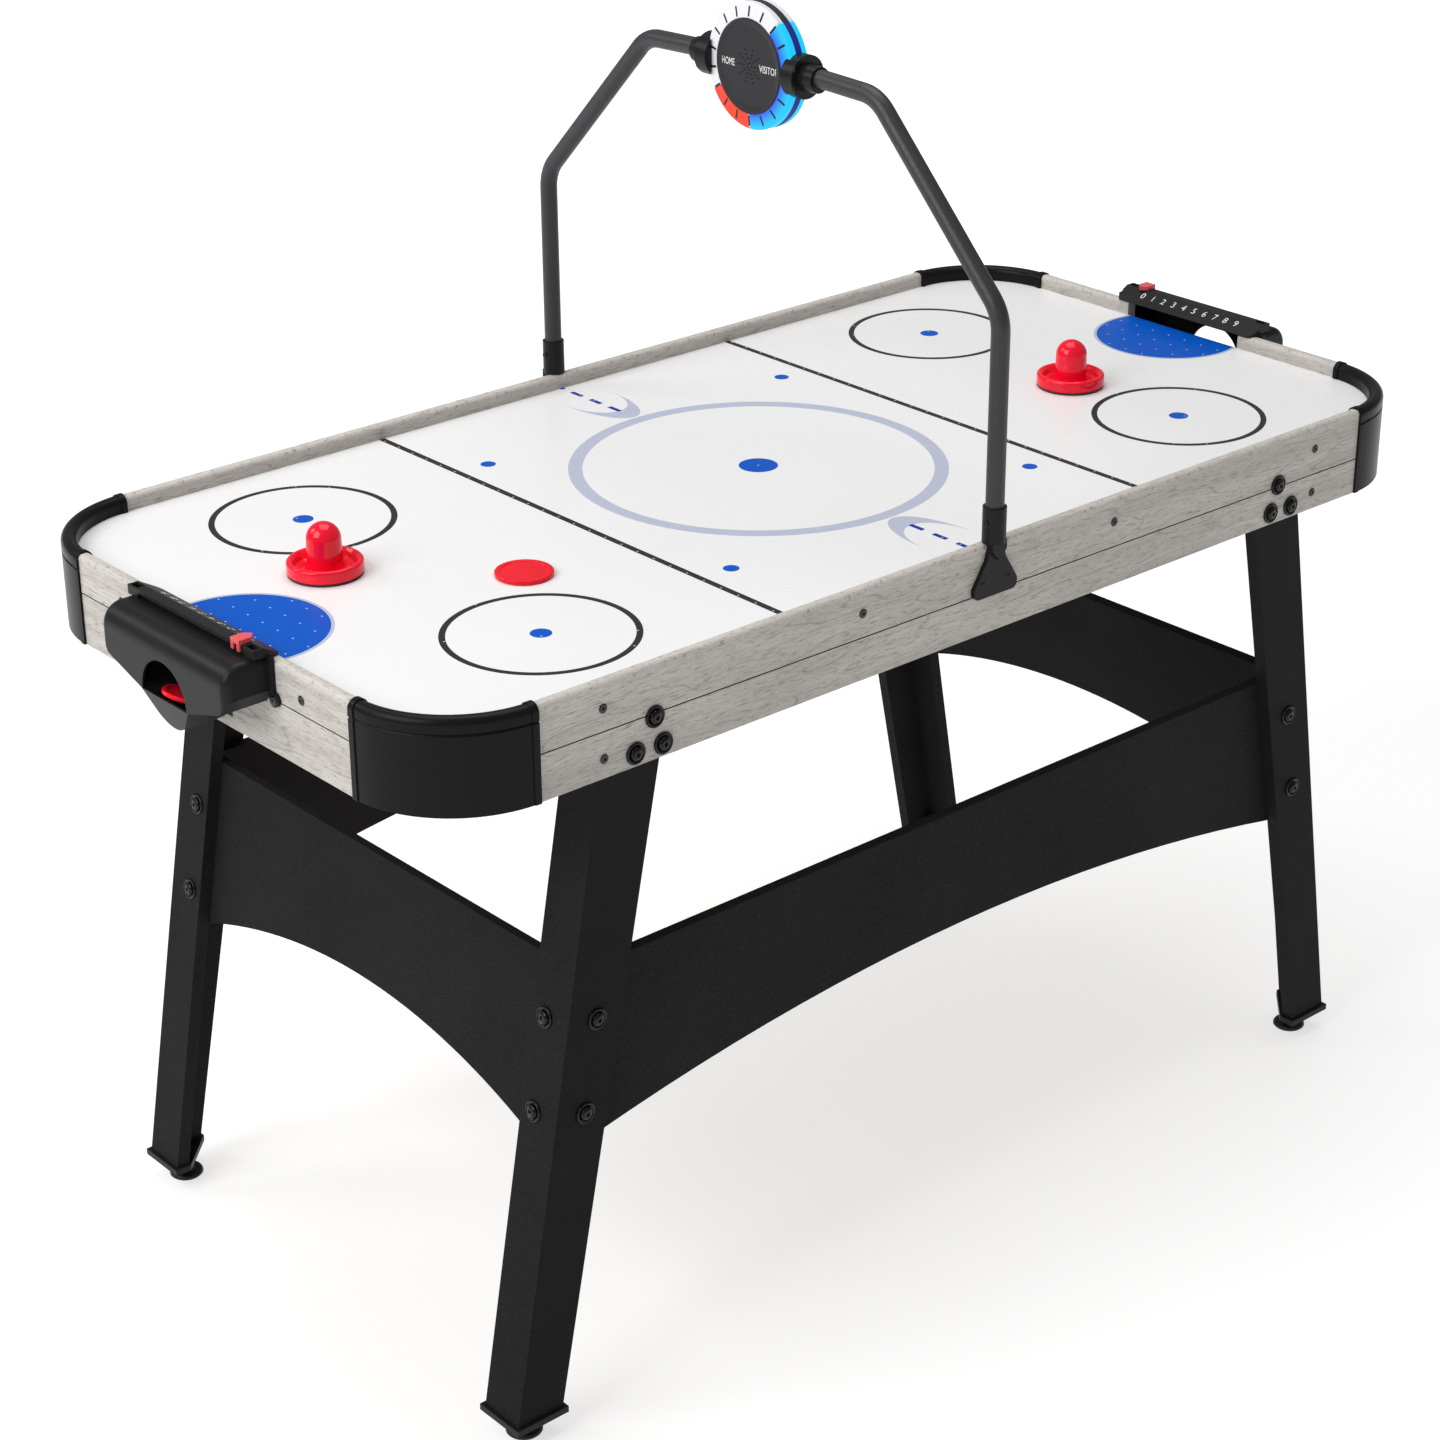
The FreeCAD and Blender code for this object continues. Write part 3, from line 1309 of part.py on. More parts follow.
def make_pod():
    wall = facing(
        "pod_wall",
        [
            ("44", "0.05"),
            ("pod_radius", "0.05"),
            ("pod_radius", "pod_core"),
            ("pod_radius - 2", "pod_core"),
            ("pod_radius - 2", "1.4"),
            ("pod_cap", "1.4"),
            ("pod_cap", "13.2"),
            ("pod_cap - 1.2", "14.2"),
            ("pod_cap - 3.2", "14"),
            ("pod_cap - 8", "12.4"),
            ("0", "11.8"),
            ("0", "9.8"),
            ("pod_cap - 8.6", "10.3"),
            ("44", "11"),
        ],
    )
    holes = []
    for rays, radii in ((10, (17.0, 12.4, 8.0)), (5, (3.5,))):
        for ray in range(rays):
            angle = 2 * math.pi * ray / rays
            for radius in radii:
                y, z = radius * math.cos(angle), radius * math.sin(angle)
                holes.append(cylinder("speaker_hole", ("8", str(y), f"{POD_Z} + {z}"), "0.9", "6", "x"))
    right = node("pod_shell_right", cut("pod_shell_right", wall, holes))
    node("pod_shell_left", half_turn("pod_shell_left", right))
    lens = facing(
        "pod_lens_ring",
        [
            ("pod_cap + 0.2", "1.5"),
            ("pod_radius - 2.1", "1.5"),
            ("pod_radius - 2.1", "pod_core + 0.1"),
            ("pod_radius", "pod_core + 0.1"),
            ("pod_radius", "9.8"),
            ("pod_radius - 1.6", "11.4", "90", -1),
            ("pod_cap + 2", "pod_half"),
            ("pod_cap + 0.2", "pod_half"),
            ("pod_cap + 0.2", "pod_half - 2"),
            ("pod_radius - 5", "9.4"),
            ("pod_radius - 4.1", "8.6"),
            ("pod_radius - 4.1", "3.5"),
            ("pod_cap + 0.2", "3.5"),
        ],
    )
    node("pod_lens_right", lens)
    node("pod_lens_left", half_turn("pod_lens_left", lens))
    board = cylinder("pod_disc", ("-0.8", "0", POD_Z), "43.5", "1.6", "x")
    speaker = cone("pod_speaker", ("0.7", "0", POD_Z), "9", "17", "7", "x")
    chip = box("pod_chip", ("-4", "20", f"{POD_Z} - 8"), ("-0.7", "34", f"{POD_Z} + 8"))
    node("pod_board", fuse("pod_board", [board, speaker, chip]))


def make_arch_screws():
    screw = turned(
        "pan_screw_pattern_piece",
        [
            ("0", "-6"),
            ("1.4", "-6"),
            ("1.4", "0"),
            ("3.6", "0"),
            ("3.6", "0.8", "4.4", 1),
            ("1.2", "2.6"),
            ("1.2", "1.2"),
            ("0", "1.2"),
        ],
    )
    top = SIZE["rail_top"]
    pod = top + SIZE["pod_up"]
    face = SIZE["half_width"] + SIZE["plate_thick"]
    spots = []
    for sy in (-1, 1):
        for sx in (-1, 1):
            spots.append(spot((sx * 17.6, sy * face, top - 38), (0, sy, 0)))
            for sz in (-1, 1):
                at = (sx * 15.5, sy * SIZE["clamp_face"], pod + sz * 10)
                spots.append(spot(at, (0, sy, 0)))
    node("arch_screws", copies("arch_screws", screw, spots))
    short = turned(
        "collar_screw_pattern_piece",
        [
            ("0", "-2.4"),
            ("1.4", "-2.4"),
            ("1.4", "0.1"),
            ("3", "0.1"),
            ("3", "0.8", "4", 1),
            ("1", "2"),
            ("0", "2"),
        ],
    )
    spots = []
    for sy in (-1, 1):
        at = (-SIZE["socket_radius"] - 0.05, sy * SIZE["half_width"], top + 23)
        spots.append(spot(at, (-1, 0, 0)))
    extra = copies("collar_screws", short, spots)
    both = [NODES["arch_screws"], extra]
    NODES["arch_screws"].Label = "pan_screws"
    node("arch_screws", group("arch_screw_set", both))


# --------------------------------------------------------------------------- playing pieces


def make_pushers():
    dome = "(pusher_tall - 38)"
    crown = f"(knob_radius * knob_radius + {dome} * {dome}) / (2 * {dome})"
    inner_dome = "(pusher_tall - 2.5 - 38)"
    inner_knob = "(knob_radius - 2.5)"
    inner_crown = f"({inner_knob} * {inner_knob} + {inner_dome} * {inner_dome}) / (2 * {inner_dome})"
    section = [
        ("pusher_radius - 1.5", "felt_thick"),
        ("pusher_radius", "felt_thick + 1.5"),
        ("pusher_radius", "pusher_rim - 3", "3", 1),
        ("pusher_radius - 3", "pusher_rim"),
        ("pusher_radius - 4.5", "pusher_rim"),
        ("pusher_radius - 7", "pusher_rim - 2.5"),
        ("pusher_radius - 9", "7"),
        ("pusher_radius - 12", "5.5"),
        ("20", "5.5"),
        ("knob_radius + 1", "8"),
        ("knob_radius + 0.5", "18"),
        ("knob_radius", "38", crown, 1),
        ("0", "pusher_tall"),
        ("0", "pusher_tall - 2.5", inner_crown, -1),
        (inner_knob, "38"),
        (f"{inner_knob} + 0.5", "18"),
        (f"{inner_knob} + 1", "6.5"),
        ("16.5", "3"),
        ("pusher_radius - 10.5", "3"),
        ("pusher_radius - 11 + 4.5", "5"),
        ("pusher_radius - 4.2", "pusher_rim - 2.8"),
        ("pusher_radius - 2.6", "pusher_rim - 2.8"),
        ("pusher_radius - 2.6", "felt_thick"),
    ]
    felt = [
        ("14", "0"),
        ("pusher_radius - 0.6", "0"),
        ("pusher_radius - 0.6", "felt_thick"),
        ("14", "felt_thick"),
    ]
    for side, (x, y) in PUSHER_PLACES.items():
        at = (str(x), str(y), f"{PLAY} + 0.3")
        node(f"pusher_{side}", turned(f"pusher_{side}", section, at))
        node(f"pusher_felt_{side}", turned(f"pusher_felt_{side}", felt, at))


def puck_outline():
    inner = "(puck_radius - puck_rim)"
    return [
        ("0", "puck_recess"),
        (f"{inner} - 1", "puck_recess"),
        (inner, "0"),
        ("puck_radius - 0.6", "0"),
        ("puck_radius", "0.6"),
        ("puck_radius", "puck_thick - 0.6"),
        ("puck_radius - 0.6", "puck_thick"),
        (inner, "puck_thick"),
        (f"{inner} - 1", "puck_thick - puck_recess"),
        ("0", "puck_thick - puck_recess"),
    ]


def make_pucks():
    x, y = PUCK_PLACE
    at = (str(x), str(y), f"{PLAY} + 0.3")
    node("puck_table", turned("puck_table", puck_outline(), at))
    middle = (f"-{from_face('20.6')}", "1", below("68.6"))
    tilted = turned("puck_spare", puck_outline(), middle, "360", (0, 1, 0), "puck_tilt")
    node("puck_spare", tilted)


# --------------------------------------------------------------------------- air supply

SEAT = FLOOR_FOOT
CASE_FOOT = f"({SEAT} - fan_case_tall)"


def make_blower():
    flange = cylinder("blower_flange", ("0", "0", f"{SEAT} - 2"), "fan_case + 8", "2")
    cup = cylinder("blower_cup", ("0", "0", CASE_FOOT), "fan_case", "fan_case_tall")
    inside = cylinder(
        "blower_inside", ("0", "0", f"{CASE_FOOT} + fan_case_wall"),
        "fan_case - fan_case_wall", "fan_case_tall",
    )
    inlet = cylinder("blower_inlet", ("0", "0", f"{CASE_FOOT} - 1"), "fan_inlet", "5")
    shell = cut("blower_shell", fuse("blower_solid", [flange, cup]), [inside, inlet])
    spider = [cylinder("blower_seat", ("0", "0", CASE_FOOT), "fan_motor + 1", "fan_case_wall")]
    arms = 3
    for index in range(arms):
        arm = box(
            f"blower_arm_{index}",
            ("0", "-3", CASE_FOOT),
            ("fan_inlet + 2", "3", f"{CASE_FOOT} + fan_case_wall"),
        )
        turn = FreeCAD.Rotation(FreeCAD.Vector(0, 0, 1), 360 / arms * index)
        corner = turn.multVec(FreeCAD.Vector(0, -3, 0))
        for letter in "xyz":
            arm.setExpression(f"Placement.Base.{letter}", None)
        middle = FreeCAD.Vector(corner.x, corner.y, number(CASE_FOOT))
        arm.Placement = FreeCAD.Placement(middle, turn)
        arm.recompute()
        spider.append(arm)
    node("blower_housing", fuse("blower_housing", [shell] + spider))


def make_motor():
    base = f"({CASE_FOOT} + fan_case_wall)"
    can = cylinder("motor_can", ("0", "0", base), "fan_motor", "20")
    shoulder = cone("motor_shoulder", ("0", "0", f"{base} + 20"), "fan_motor", "fan_motor - 3", "2")
    shaft = cylinder("motor_shaft", ("0", "0", f"{base} + 21"), "1.5", "13")
    node("blower_motor", fuse("blower_motor", [can, shoulder, shaft]))


def make_impeller():
    base = f"({CASE_FOOT} + fan_case_wall)"
    disc = cylinder("wheel_disc", ("0", "0", f"{base} + 29"), "fan_wheel", "2")
    hub = cylinder("wheel_hub", ("0", "0", f"{base} + 24"), "5", "10")
    ring = turned(
        "wheel_ring",
        [
            ("fan_wheel - 5", "0"),
            ("fan_wheel", "0"),
            ("fan_wheel", "1.6"),
            ("fan_wheel - 5", "1.6"),
        ],
        ("0", "0", f"{base} + 4"),
    )
    blades = []
    count = 24
    for index in range(count):
        turn = FreeCAD.Rotation(FreeCAD.Vector(0, 0, 1), 360 / count * index)
        lean = FreeCAD.Rotation(FreeCAD.Vector(0, 0, 1), 360 / count * index + 24)
        blade = doc.addObject("Part::Box", f"wheel_blade_{index}")
        bind(blade, {"Length": "8.5", "Width": "1.4", "Height": "25.5"})
        corner = turn.multVec(FreeCAD.Vector(SIZE["fan_wheel"] - 9.2, -2.2, 0))
        height = number(f"{base} + 4.2")
        blade.Placement = FreeCAD.Placement(FreeCAD.Vector(corner.x, corner.y, height), lean)
        blade.recompute()
        blades.append(blade)
    bore = cylinder("wheel_bore", ("0", "0", f"{base} + 23"), "1.55", "12")
    solid = fuse("wheel_solid", [disc, hub, ring] + blades)
    node("blower_impeller", cut("blower_impeller", solid, [bore]))


def make_power():
    face = "half_width"
    plate = box(
        "power_plate",
        ("power_at - 15", face, "power_up - 12"),
        ("power_at + 46", f"{face} + 2", "power_up + 12"),
    )
    collar = box(
        "power_collar",
        ("power_at - 9.9", f"{INNER_Y} + 1", "power_up - 6.4"),
        ("power_at + 9.9", f"{face} + 1", "power_up + 6.4"),
    )
    jack = cylinder(
        "power_jack", ("power_at + 34", f"{INNER_Y} - 4", "power_up"), "5.8", "apron_thick + 8", "y"
    )
    window = box(
        "power_window",
        ("power_at - 9.2", f"{INNER_Y} - 1", "power_up - 5.8"),
        ("power_at + 9.2", f"{face} + 5", "power_up + 5.8"),
    )
    barrel = cylinder(
        "power_barrel", ("power_at + 34", f"{face} - 8", "power_up"), "3", "14", "y"
    )
    shell = cut("power_shell", fuse("power_solid", [plate, collar, jack]), [window, barrel])
    pin = cylinder("power_pin", ("power_at + 34", f"{face} - 9", "power_up"), "1", "10", "y")
    node("power_inlet", fuse("power_inlet", [shell, pin]))
    tilting = padded(
        "rocker_cap", "XY_Plane",
        [
            ("-7.6", "-3"),
            ("7.6", "-3"),
            ("7.6", "6"),
            ("0", "4.4"),
            ("-7.6", "6"),
        ],
        "10.8",
    )
    pivot = cylinder("rocker_pivot", ("0", "0", "-0.3"), "1.6", "11.4")
    at = ("power_at", f"{face} - 2.4", "power_up - 5.4")
    rocker = fuse("rocker_solid", [tilting, pivot])
    node("power_switch", place(rocker, at, (0, 0, 1), "-12"))


# --------------------------------------------------------------------------- run

make_boards()
make_spacers()
make_side_aprons()
make_end_aprons()
make_castings()
make_braces()
make_legs()
make_caps()
make_levellers()
make_side_panels()
make_end_panels()
make_bolts()
make_apron_screws()
make_goal_boxes()
make_score_rails()
make_score_markers()
make_goal_sensors()
make_brackets()
make_tubes()
make_clamps()
make_pod()
make_arch_screws()
make_pushers()
make_pucks()
make_blower()
make_motor()
make_impeller()
make_power()

doc.recompute()

for thing in doc.Objects:
    if "Invalid" in thing.State or "Error" in thing.State:
        raise RuntimeError(f"{thing.Label}: {thing.State}")

os.makedirs("parts", exist_ok=True)
for label, thing in NODES.items():
    shape = thing.Shape
    if shape.isNull() or not shape.isValid() or not shape.Solids:
        raise RuntimeError(f"{label}: the shape is not sound")
    shape.exportStep(f"parts/{label}.step")
    print(f"{label}: {len(shape.Solids)} solids, {shape.Volume / 1000:.1f} cm3")
print(len(NODES), "nodes")
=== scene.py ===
"""Looks of the air hockey table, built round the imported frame."""

import json
import math

import bmesh
import bpy
from mathutils import Matrix, Vector


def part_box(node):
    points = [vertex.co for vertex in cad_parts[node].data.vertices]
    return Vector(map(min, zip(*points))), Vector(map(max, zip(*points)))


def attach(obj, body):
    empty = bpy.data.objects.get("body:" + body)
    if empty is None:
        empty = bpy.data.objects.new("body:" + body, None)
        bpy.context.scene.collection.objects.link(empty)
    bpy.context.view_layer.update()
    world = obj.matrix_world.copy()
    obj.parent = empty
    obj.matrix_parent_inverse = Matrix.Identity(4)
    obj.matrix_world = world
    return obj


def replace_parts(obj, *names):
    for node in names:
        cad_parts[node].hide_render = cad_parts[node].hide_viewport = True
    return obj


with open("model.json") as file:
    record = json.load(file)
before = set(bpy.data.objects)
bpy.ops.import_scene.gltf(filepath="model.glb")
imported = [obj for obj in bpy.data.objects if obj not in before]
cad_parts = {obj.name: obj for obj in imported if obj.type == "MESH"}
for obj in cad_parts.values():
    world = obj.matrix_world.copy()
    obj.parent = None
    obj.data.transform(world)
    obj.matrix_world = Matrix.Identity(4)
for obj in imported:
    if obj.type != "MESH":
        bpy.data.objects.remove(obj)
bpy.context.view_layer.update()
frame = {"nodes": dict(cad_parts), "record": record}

SCENE = bpy.context.scene
NODES = frame["nodes"]
RECORD = frame["record"]

# --------------------------------------------------------------------------- measures

PLAY_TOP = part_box("playfield")[1].z
RAIL_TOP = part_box("side_apron_front")[1].z
FRONT_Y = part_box("side_apron_front")[0].y
END_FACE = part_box("end_apron_right")[1].x
POD_LOW, POD_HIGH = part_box("pod_lens_left")
POD_RADIUS = (POD_HIGH.z - POD_LOW.z) / 2
POD_Z = (POD_HIGH.z + POD_LOW.z) / 2
QUARTERS = [(sx, sy) for sx in (-1, 1) for sy in (-1, 1)]

# --------------------------------------------------------------------------- node helpers


class Tree:
    """Short ways to build one material's nodes."""

    def __init__(self, name):
        self.material = bpy.data.materials.new(name)
        self.material.use_nodes = True
        self.nodes = self.material.node_tree.nodes
        self.links = self.material.node_tree.links
        self.shader = self.nodes["Principled BSDF"]

    def link(self, value, socket):
        """Joins an output to a socket, or sets the socket to a plain number or colour."""
        if isinstance(value, bpy.types.NodeSocket):
            self.links.new(value, socket)
        else:
            socket.default_value = value

    def set(self, **values):
        """Sets or joins the shader's sockets, whose spaces are written as underscores."""
        for name, value in values.items():
            self.link(value, self.shader.inputs[name.replace("_", " ")])

    def place(self):
        """Where the surface is, in the piece's own frame, in metres."""
        return self.nodes.new("ShaderNodeTexCoord").outputs["Object"]

    def stretched(self, vector, scale, turn=(0, 0, 0), shift=(0, 0, 0)):
        """The vector scaled, turned and shifted, to stretch a pattern along the grain."""
        node = self.nodes.new("ShaderNodeMapping")
        self.link(vector, node.inputs["Vector"])
        node.inputs["Scale"].default_value = scale
        node.inputs["Rotation"].default_value = turn
        node.inputs["Location"].default_value = shift
        return node.outputs[0]

    def noise(self, vector, scale, detail=3.0, rough=0.5):
        """Cloudy noise between 0 and 1."""
        node = self.nodes.new("ShaderNodeTexNoise")
        self.link(vector, node.inputs["Vector"])
        node.inputs["Scale"].default_value = scale
        node.inputs["Detail"].default_value = detail
        node.inputs["Roughness"].default_value = rough
        return node.outputs["Fac"]

    def cells(self, vector, scale):
        """The distance from the middle of the nearest of many small cells."""
        node = self.nodes.new("ShaderNodeTexVoronoi")
        self.link(vector, node.inputs["Vector"])
        node.inputs["Scale"].default_value = scale
        return node.outputs["Distance"]

    def math(self, operation, a, b=0.0):
        node = self.nodes.new("ShaderNodeMath")
        node.operation = operation
        for value, socket in zip((a, b), node.inputs):
            self.link(value, socket)
        return node.outputs[0]

    def plus(self, a, b):
        return self.math("ADD", a, b)

    def minus(self, a, b):
        return self.math("SUBTRACT", a, b)

    def times(self, a, b):
        return self.math("MULTIPLY", a, b)

    def length(self, a, b):
        """How far the point (a, b) is from the origin."""
        squares = [self.math("POWER", value, 2.0) for value in (a, b)]
        return self.math("SQRT", self.plus(*squares))

    def parts(self, vector):
        """The vector's x, y and z."""
        node = self.nodes.new("ShaderNodeSeparateXYZ")
        self.link(vector, node.inputs[0])
        return node.outputs

    def joined(self, x, y, z):
        """One vector from three numbers."""
        node = self.nodes.new("ShaderNodeCombineXYZ")
        for value, socket in zip((x, y, z), node.inputs):
            self.link(value, socket)
        return node.outputs[0]

    def span(self, value, low, high, to_low=0.0, to_high=1.0):
        """The value stretched from one range to another, and held inside it."""
        node = self.nodes.new("ShaderNodeMapRange")
        for item, socket in zip((value, low, high, to_low, to_high), node.inputs):
            self.link(item, socket)
        return node.outputs[0]

    def between(self, value, low, high, soft=0.004):
        """1 where the value is inside the range, 0 outside it."""
        inside = self.span(value, low - soft, low + soft)
        return self.times(inside, self.span(value, high - soft, high + soft, 1.0, 0.0))

    def mix(self, share, a, b):
        """The first colour where the share is 0, the second where it is 1."""
        node = self.nodes.new("ShaderNodeMix")
        node.data_type = "RGBA"
        sockets = [s for s in node.inputs if s.enabled]
        for value, socket in zip((share, rgba(a), rgba(b)), sockets):
            self.link(value, socket)
        return [s for s in node.outputs if s.enabled][0]

    def bump(self, height, depth, strength, normal=None):
        """A normal tilted by a height pattern."""
        node = self.nodes.new("ShaderNodeBump")
        node.inputs["Distance"].default_value = depth
        node.inputs["Strength"].default_value = strength
        self.link(height, node.inputs["Height"])
        if normal is not None:
            self.link(normal, node.inputs["Normal"])
        return node.outputs[0]

    def soft_edge(self, radius):
        """A normal that is rounded where two faces meet."""
        node = self.nodes.new("ShaderNodeBevel")
        node.samples = 4
        node.inputs["Radius"].default_value = radius
        return node.outputs[0]


def rgba(colour):
    """A colour with its alpha; a socket stays as it is."""
    if isinstance(colour, bpy.types.NodeSocket):
        return colour
    return (*colour, 1.0)


# --------------------------------------------------------------------------- materials

GRAIN_DEPTH = 0.00005


def toned(colour, share):
    """The colour made darker or paler by a factor."""
    return tuple(min(1.0, c * share) for c in colour)


def moulded(name, colour, rough, grain=900.0, shine=0.16):
    """Moulded plastic: a fine leathery grain, faint mottling, scuffs and soft edges."""
    t = Tree(name)
    place = t.place()
    cells = t.cells(place, grain)
    cloud = t.noise(place, 11.0, 4.0, 0.6)
    scuff = t.span(t.noise(t.stretched(place, (60, 60, 9)), 3.0, 6.0, 0.7), 0.62, 0.85)
    base = t.mix(t.span(cloud, 0.3, 0.8, 0.0, 0.6), colour, toned(colour, 1.5))
    base = t.mix(t.times(scuff, 0.3), base, tuple(c + 0.02 for c in toned(colour, 1.6)))
    smooth = t.span(cloud, 0.2, 0.8, rough - 0.05, rough + 0.07)
    t.set(Base_Color=base, Roughness=t.plus(smooth, t.times(scuff, 0.08)))
    t.set(Normal=t.bump(cells, GRAIN_DEPTH, 1.0, t.soft_edge(0.0008)), Specular_IOR_Level=shine)
    return t.material


WOOD = (0.532, 0.500, 0.463)
# Each knot is (along the apron, height); its rings are drawn out along the grain.
KNOTS = ((-0.181, 0.7715), (0.331, 0.728), (-0.43, 0.7215), (0.05, 0.779))
KNOT_STRETCH = 0.45
KNOT_CORE, KNOT_EDGE = 0.004, 0.011
KNOT_RINGS = 3000.0
# The band along the top of the rail carries a painted highlight, with dark worn specks over it.
EDGE_HIGHLIGHT_AND_WEAR_FROM, EDGE_HIGHLIGHT_AND_WEAR_TO = RAIL_TOP - 0.010, RAIL_TOP - 0.003
SEAM_FROM, SEAM_TO = RAIL_TOP - 0.060, RAIL_TOP - 0.035
SEAM_SHALLOW, SEAM_DEEP = 0.00012, 0.0011
# The near-black in the seam groove is painted shade.
GROOVE_SHADE = (0.012, 0.011, 0.010)


def weathered_wood(name, along):
    """Grey wood-print laminate: fine pores, thin flat-sawn lines, knots, worn specks and a painted
    highlight along the rounded top edge, painted shade in the seam groove.
    """
    t = Tree(name)
    x, y, z = t.parts(t.place())
    run, across, face = (x, y, abs(FRONT_Y)) if along == "x" else (y, x, END_FACE)
    board = t.joined(run, z, across)
    bend = t.noise(t.stretched(board, (3.0, 11.0, 11.0)), 1.0, 3.0, 0.5)
    bend = t.times(t.minus(bend, 0.5), 0.016)
    wavy = t.joined(run, t.plus(z, bend), t.plus(across, bend))
    bands = t.noise(t.stretched(wavy, (3.0, 60.0, 60.0)), 1.0, 4.0, 0.55)
    fine = t.noise(t.stretched(wavy, (46.0, 900.0, 900.0)), 1.0, 3.0, 0.6)
    pores = t.noise(t.stretched(wavy, (75.0, 620.0, 620.0), shift=(0.3, 5.1, 2.2)), 1.0, 2.0, 0.5)
    speck = t.noise(t.place(), 620.0, 3.0, 0.65)
    patch = t.noise(t.stretched(board, (7.0, 16.0, 16.0)), 1.0, 4.0, 0.6)
    field = t.noise(t.stretched(board, (2.6, 17.0, 17.0), shift=(1.7, 0.2, 0.6)), 1.0, 1.6, 0.45)
    broken = t.noise(t.stretched(wavy, (34.0, 260.0, 260.0)), 1.0, 3.0, 0.6)
    tone = t.mix(t.span(bands, 0.36, 0.64), toned(WOOD, 0.84), toned(WOOD, 1.07))
    layers = (
        (patch, (0.48, 0.72, 0.0, 0.5), 1.14),
        (patch, (0.46, 0.26, 0.0, 0.45), 0.80),
        (fine, (0.32, 0.54, 0.62, 0.0), 0.56),
        (speck, (0.52, 0.70, 0.0, 0.40), 1.25),
        (speck, (0.46, 0.30, 0.0, 0.45), 0.66),
        (pores, (0.58, 0.65, 0.0, 0.6), 0.42),
    )
    for value, limits, shade in layers:
        tone = t.mix(t.span(value, *limits), tone, toned(WOOD, shade))
    contour = t.math("PINGPONG", t.times(field, 9.0), 0.5)
    lines = t.times(t.span(contour, 0.0, 0.034, 1.0, 0.0), t.span(broken, 0.36, 0.50))
    tone = t.mix(t.times(lines, 0.62), tone, toned(WOOD, 0.40))
    for knot_x, knot_z in KNOTS:
        aside = t.times(t.minus(run, knot_x), KNOT_STRETCH)
        up = t.plus(t.minus(z, knot_z), t.times(bend, 0.35))
        far = t.length(aside, up)
        rings = t.span(t.math("SINE", t.times(far, KNOT_RINGS)), 0.4, 1.0, 0.0, 0.55)
        near = t.span(far, KNOT_CORE, KNOT_EDGE, 1.0, 0.0)
        tone = t.mix(t.times(near, rings), tone, toned(WOOD, 0.42))
    # Painted highlight: the rail top and the band just under its edge are paler, where the rounded
    # edge catches the light; the dark specks over it are wear.
    rim = t.span(z, EDGE_HIGHLIGHT_AND_WEAR_FROM, EDGE_HIGHLIGHT_AND_WEAR_TO)
    worn = t.noise(t.place(), 190.0, 5.0, 0.68)
    tone = t.mix(t.times(rim, 0.45), tone, toned(WOOD, 1.16))
    tone = t.mix(t.times(rim, t.span(worn, 0.56, 0.64, 0.0, 0.7)), tone, toned(WOOD, 0.42))
    # Painted shade: the inside of the seam groove is painted near-black, for the shade that falls
    # in it.
    inward = t.minus(face, t.math("ABSOLUTE", across))
    in_groove = t.between(inward, SEAM_SHALLOW, SEAM_DEEP, 0.00005)
    groove_shade = t.times(in_groove, t.between(z, SEAM_FROM, SEAM_TO, 0.0001))
    tone = t.mix(groove_shade, tone, GROOVE_SHADE)
    t.set(Base_Color=tone, Roughness=t.span(fine, 0.2, 0.8, 0.52, 0.66), Specular_IOR_Level=0.3)
    height = t.minus(t.times(fine, 0.5), t.plus(lines, pores))
    t.set(Normal=t.bump(height, 0.00010, 0.6, t.soft_edge(0.0007)))
    return t.material


LAMINATE_BLACK, LAMINATE_WORN = (0.0120, 0.0115, 0.0113), (0.0175, 0.0168, 0.0168)
LAMINATE_FLECK = (0.072, 0.071, 0.078)
FIBRE_BROWN, FIBRE_PALE, FIBRE_CLOUD = (0.30, 0.205, 0.12), (0.47, 0.35, 0.225), (0.36, 0.26, 0.16)
FELT_DARK, FELT_FUZZ = (0.008, 0.008, 0.008), (0.035, 0.035, 0.036)


def black_laminate(name):
    """Black laminate on the legs and panels: a fine cloth-like emboss with pale flecks."""
    t = Tree(name)
    place = t.place()
    grain = t.noise(t.stretched(place, (500, 500, 1500)), 1.0, 4.0, 0.65)
    fleck = t.noise(place, 1300.0, 3.0, 0.62)
    cloud = t.noise(place, 5.0, 4.0, 0.55)
    base = t.mix(t.span(cloud, 0.3, 0.7), LAMINATE_BLACK, LAMINATE_WORN)
    base = t.mix(t.span(fleck, 0.55, 0.70, 0.0, 0.6), base, LAMINATE_FLECK)
    t.set(Base_Color=base, Roughness=t.span(grain, 0.3, 0.7, 0.46, 0.60), Specular_IOR_Level=0.03)
    height = t.plus(t.times(grain, 0.6), fleck)
    t.set(Normal=t.bump(height, 0.00020, 0.9, t.soft_edge(0.0009)))
    return t.material


def powder_coat(name, colour, rough, depth=0.00012, shine=0.28):
    """Textured powder coat: orange-peel bumps with tiny pale grains."""
    t = Tree(name)
    place = t.place()
    peel = t.noise(place, 1500.0, 3.0, 0.6)
    coarse = t.noise(place, 380.0, 2.0, 0.5)
    cloud = t.noise(place, 6.0, 3.0)
    pale = tuple(c * 2.2 + 0.01 for c in colour)
    base = t.mix(t.span(peel, 0.60, 0.74, 0.0, 0.45), colour, pale)
    base = t.mix(t.span(cloud, 0.3, 0.8, 0.0, 0.4), base, toned(colour, 0.75))
    t.set(Base_Color=base, Roughness=t.span(coarse, 0.3, 0.7, rough - 0.06, rough + 0.06))
    height = t.plus(peel, t.times(coarse, 0.6))
    t.set(Normal=t.bump(height, depth, 0.8, t.soft_edge(0.0006)), Specular_IOR_Level=shine)
    return t.material


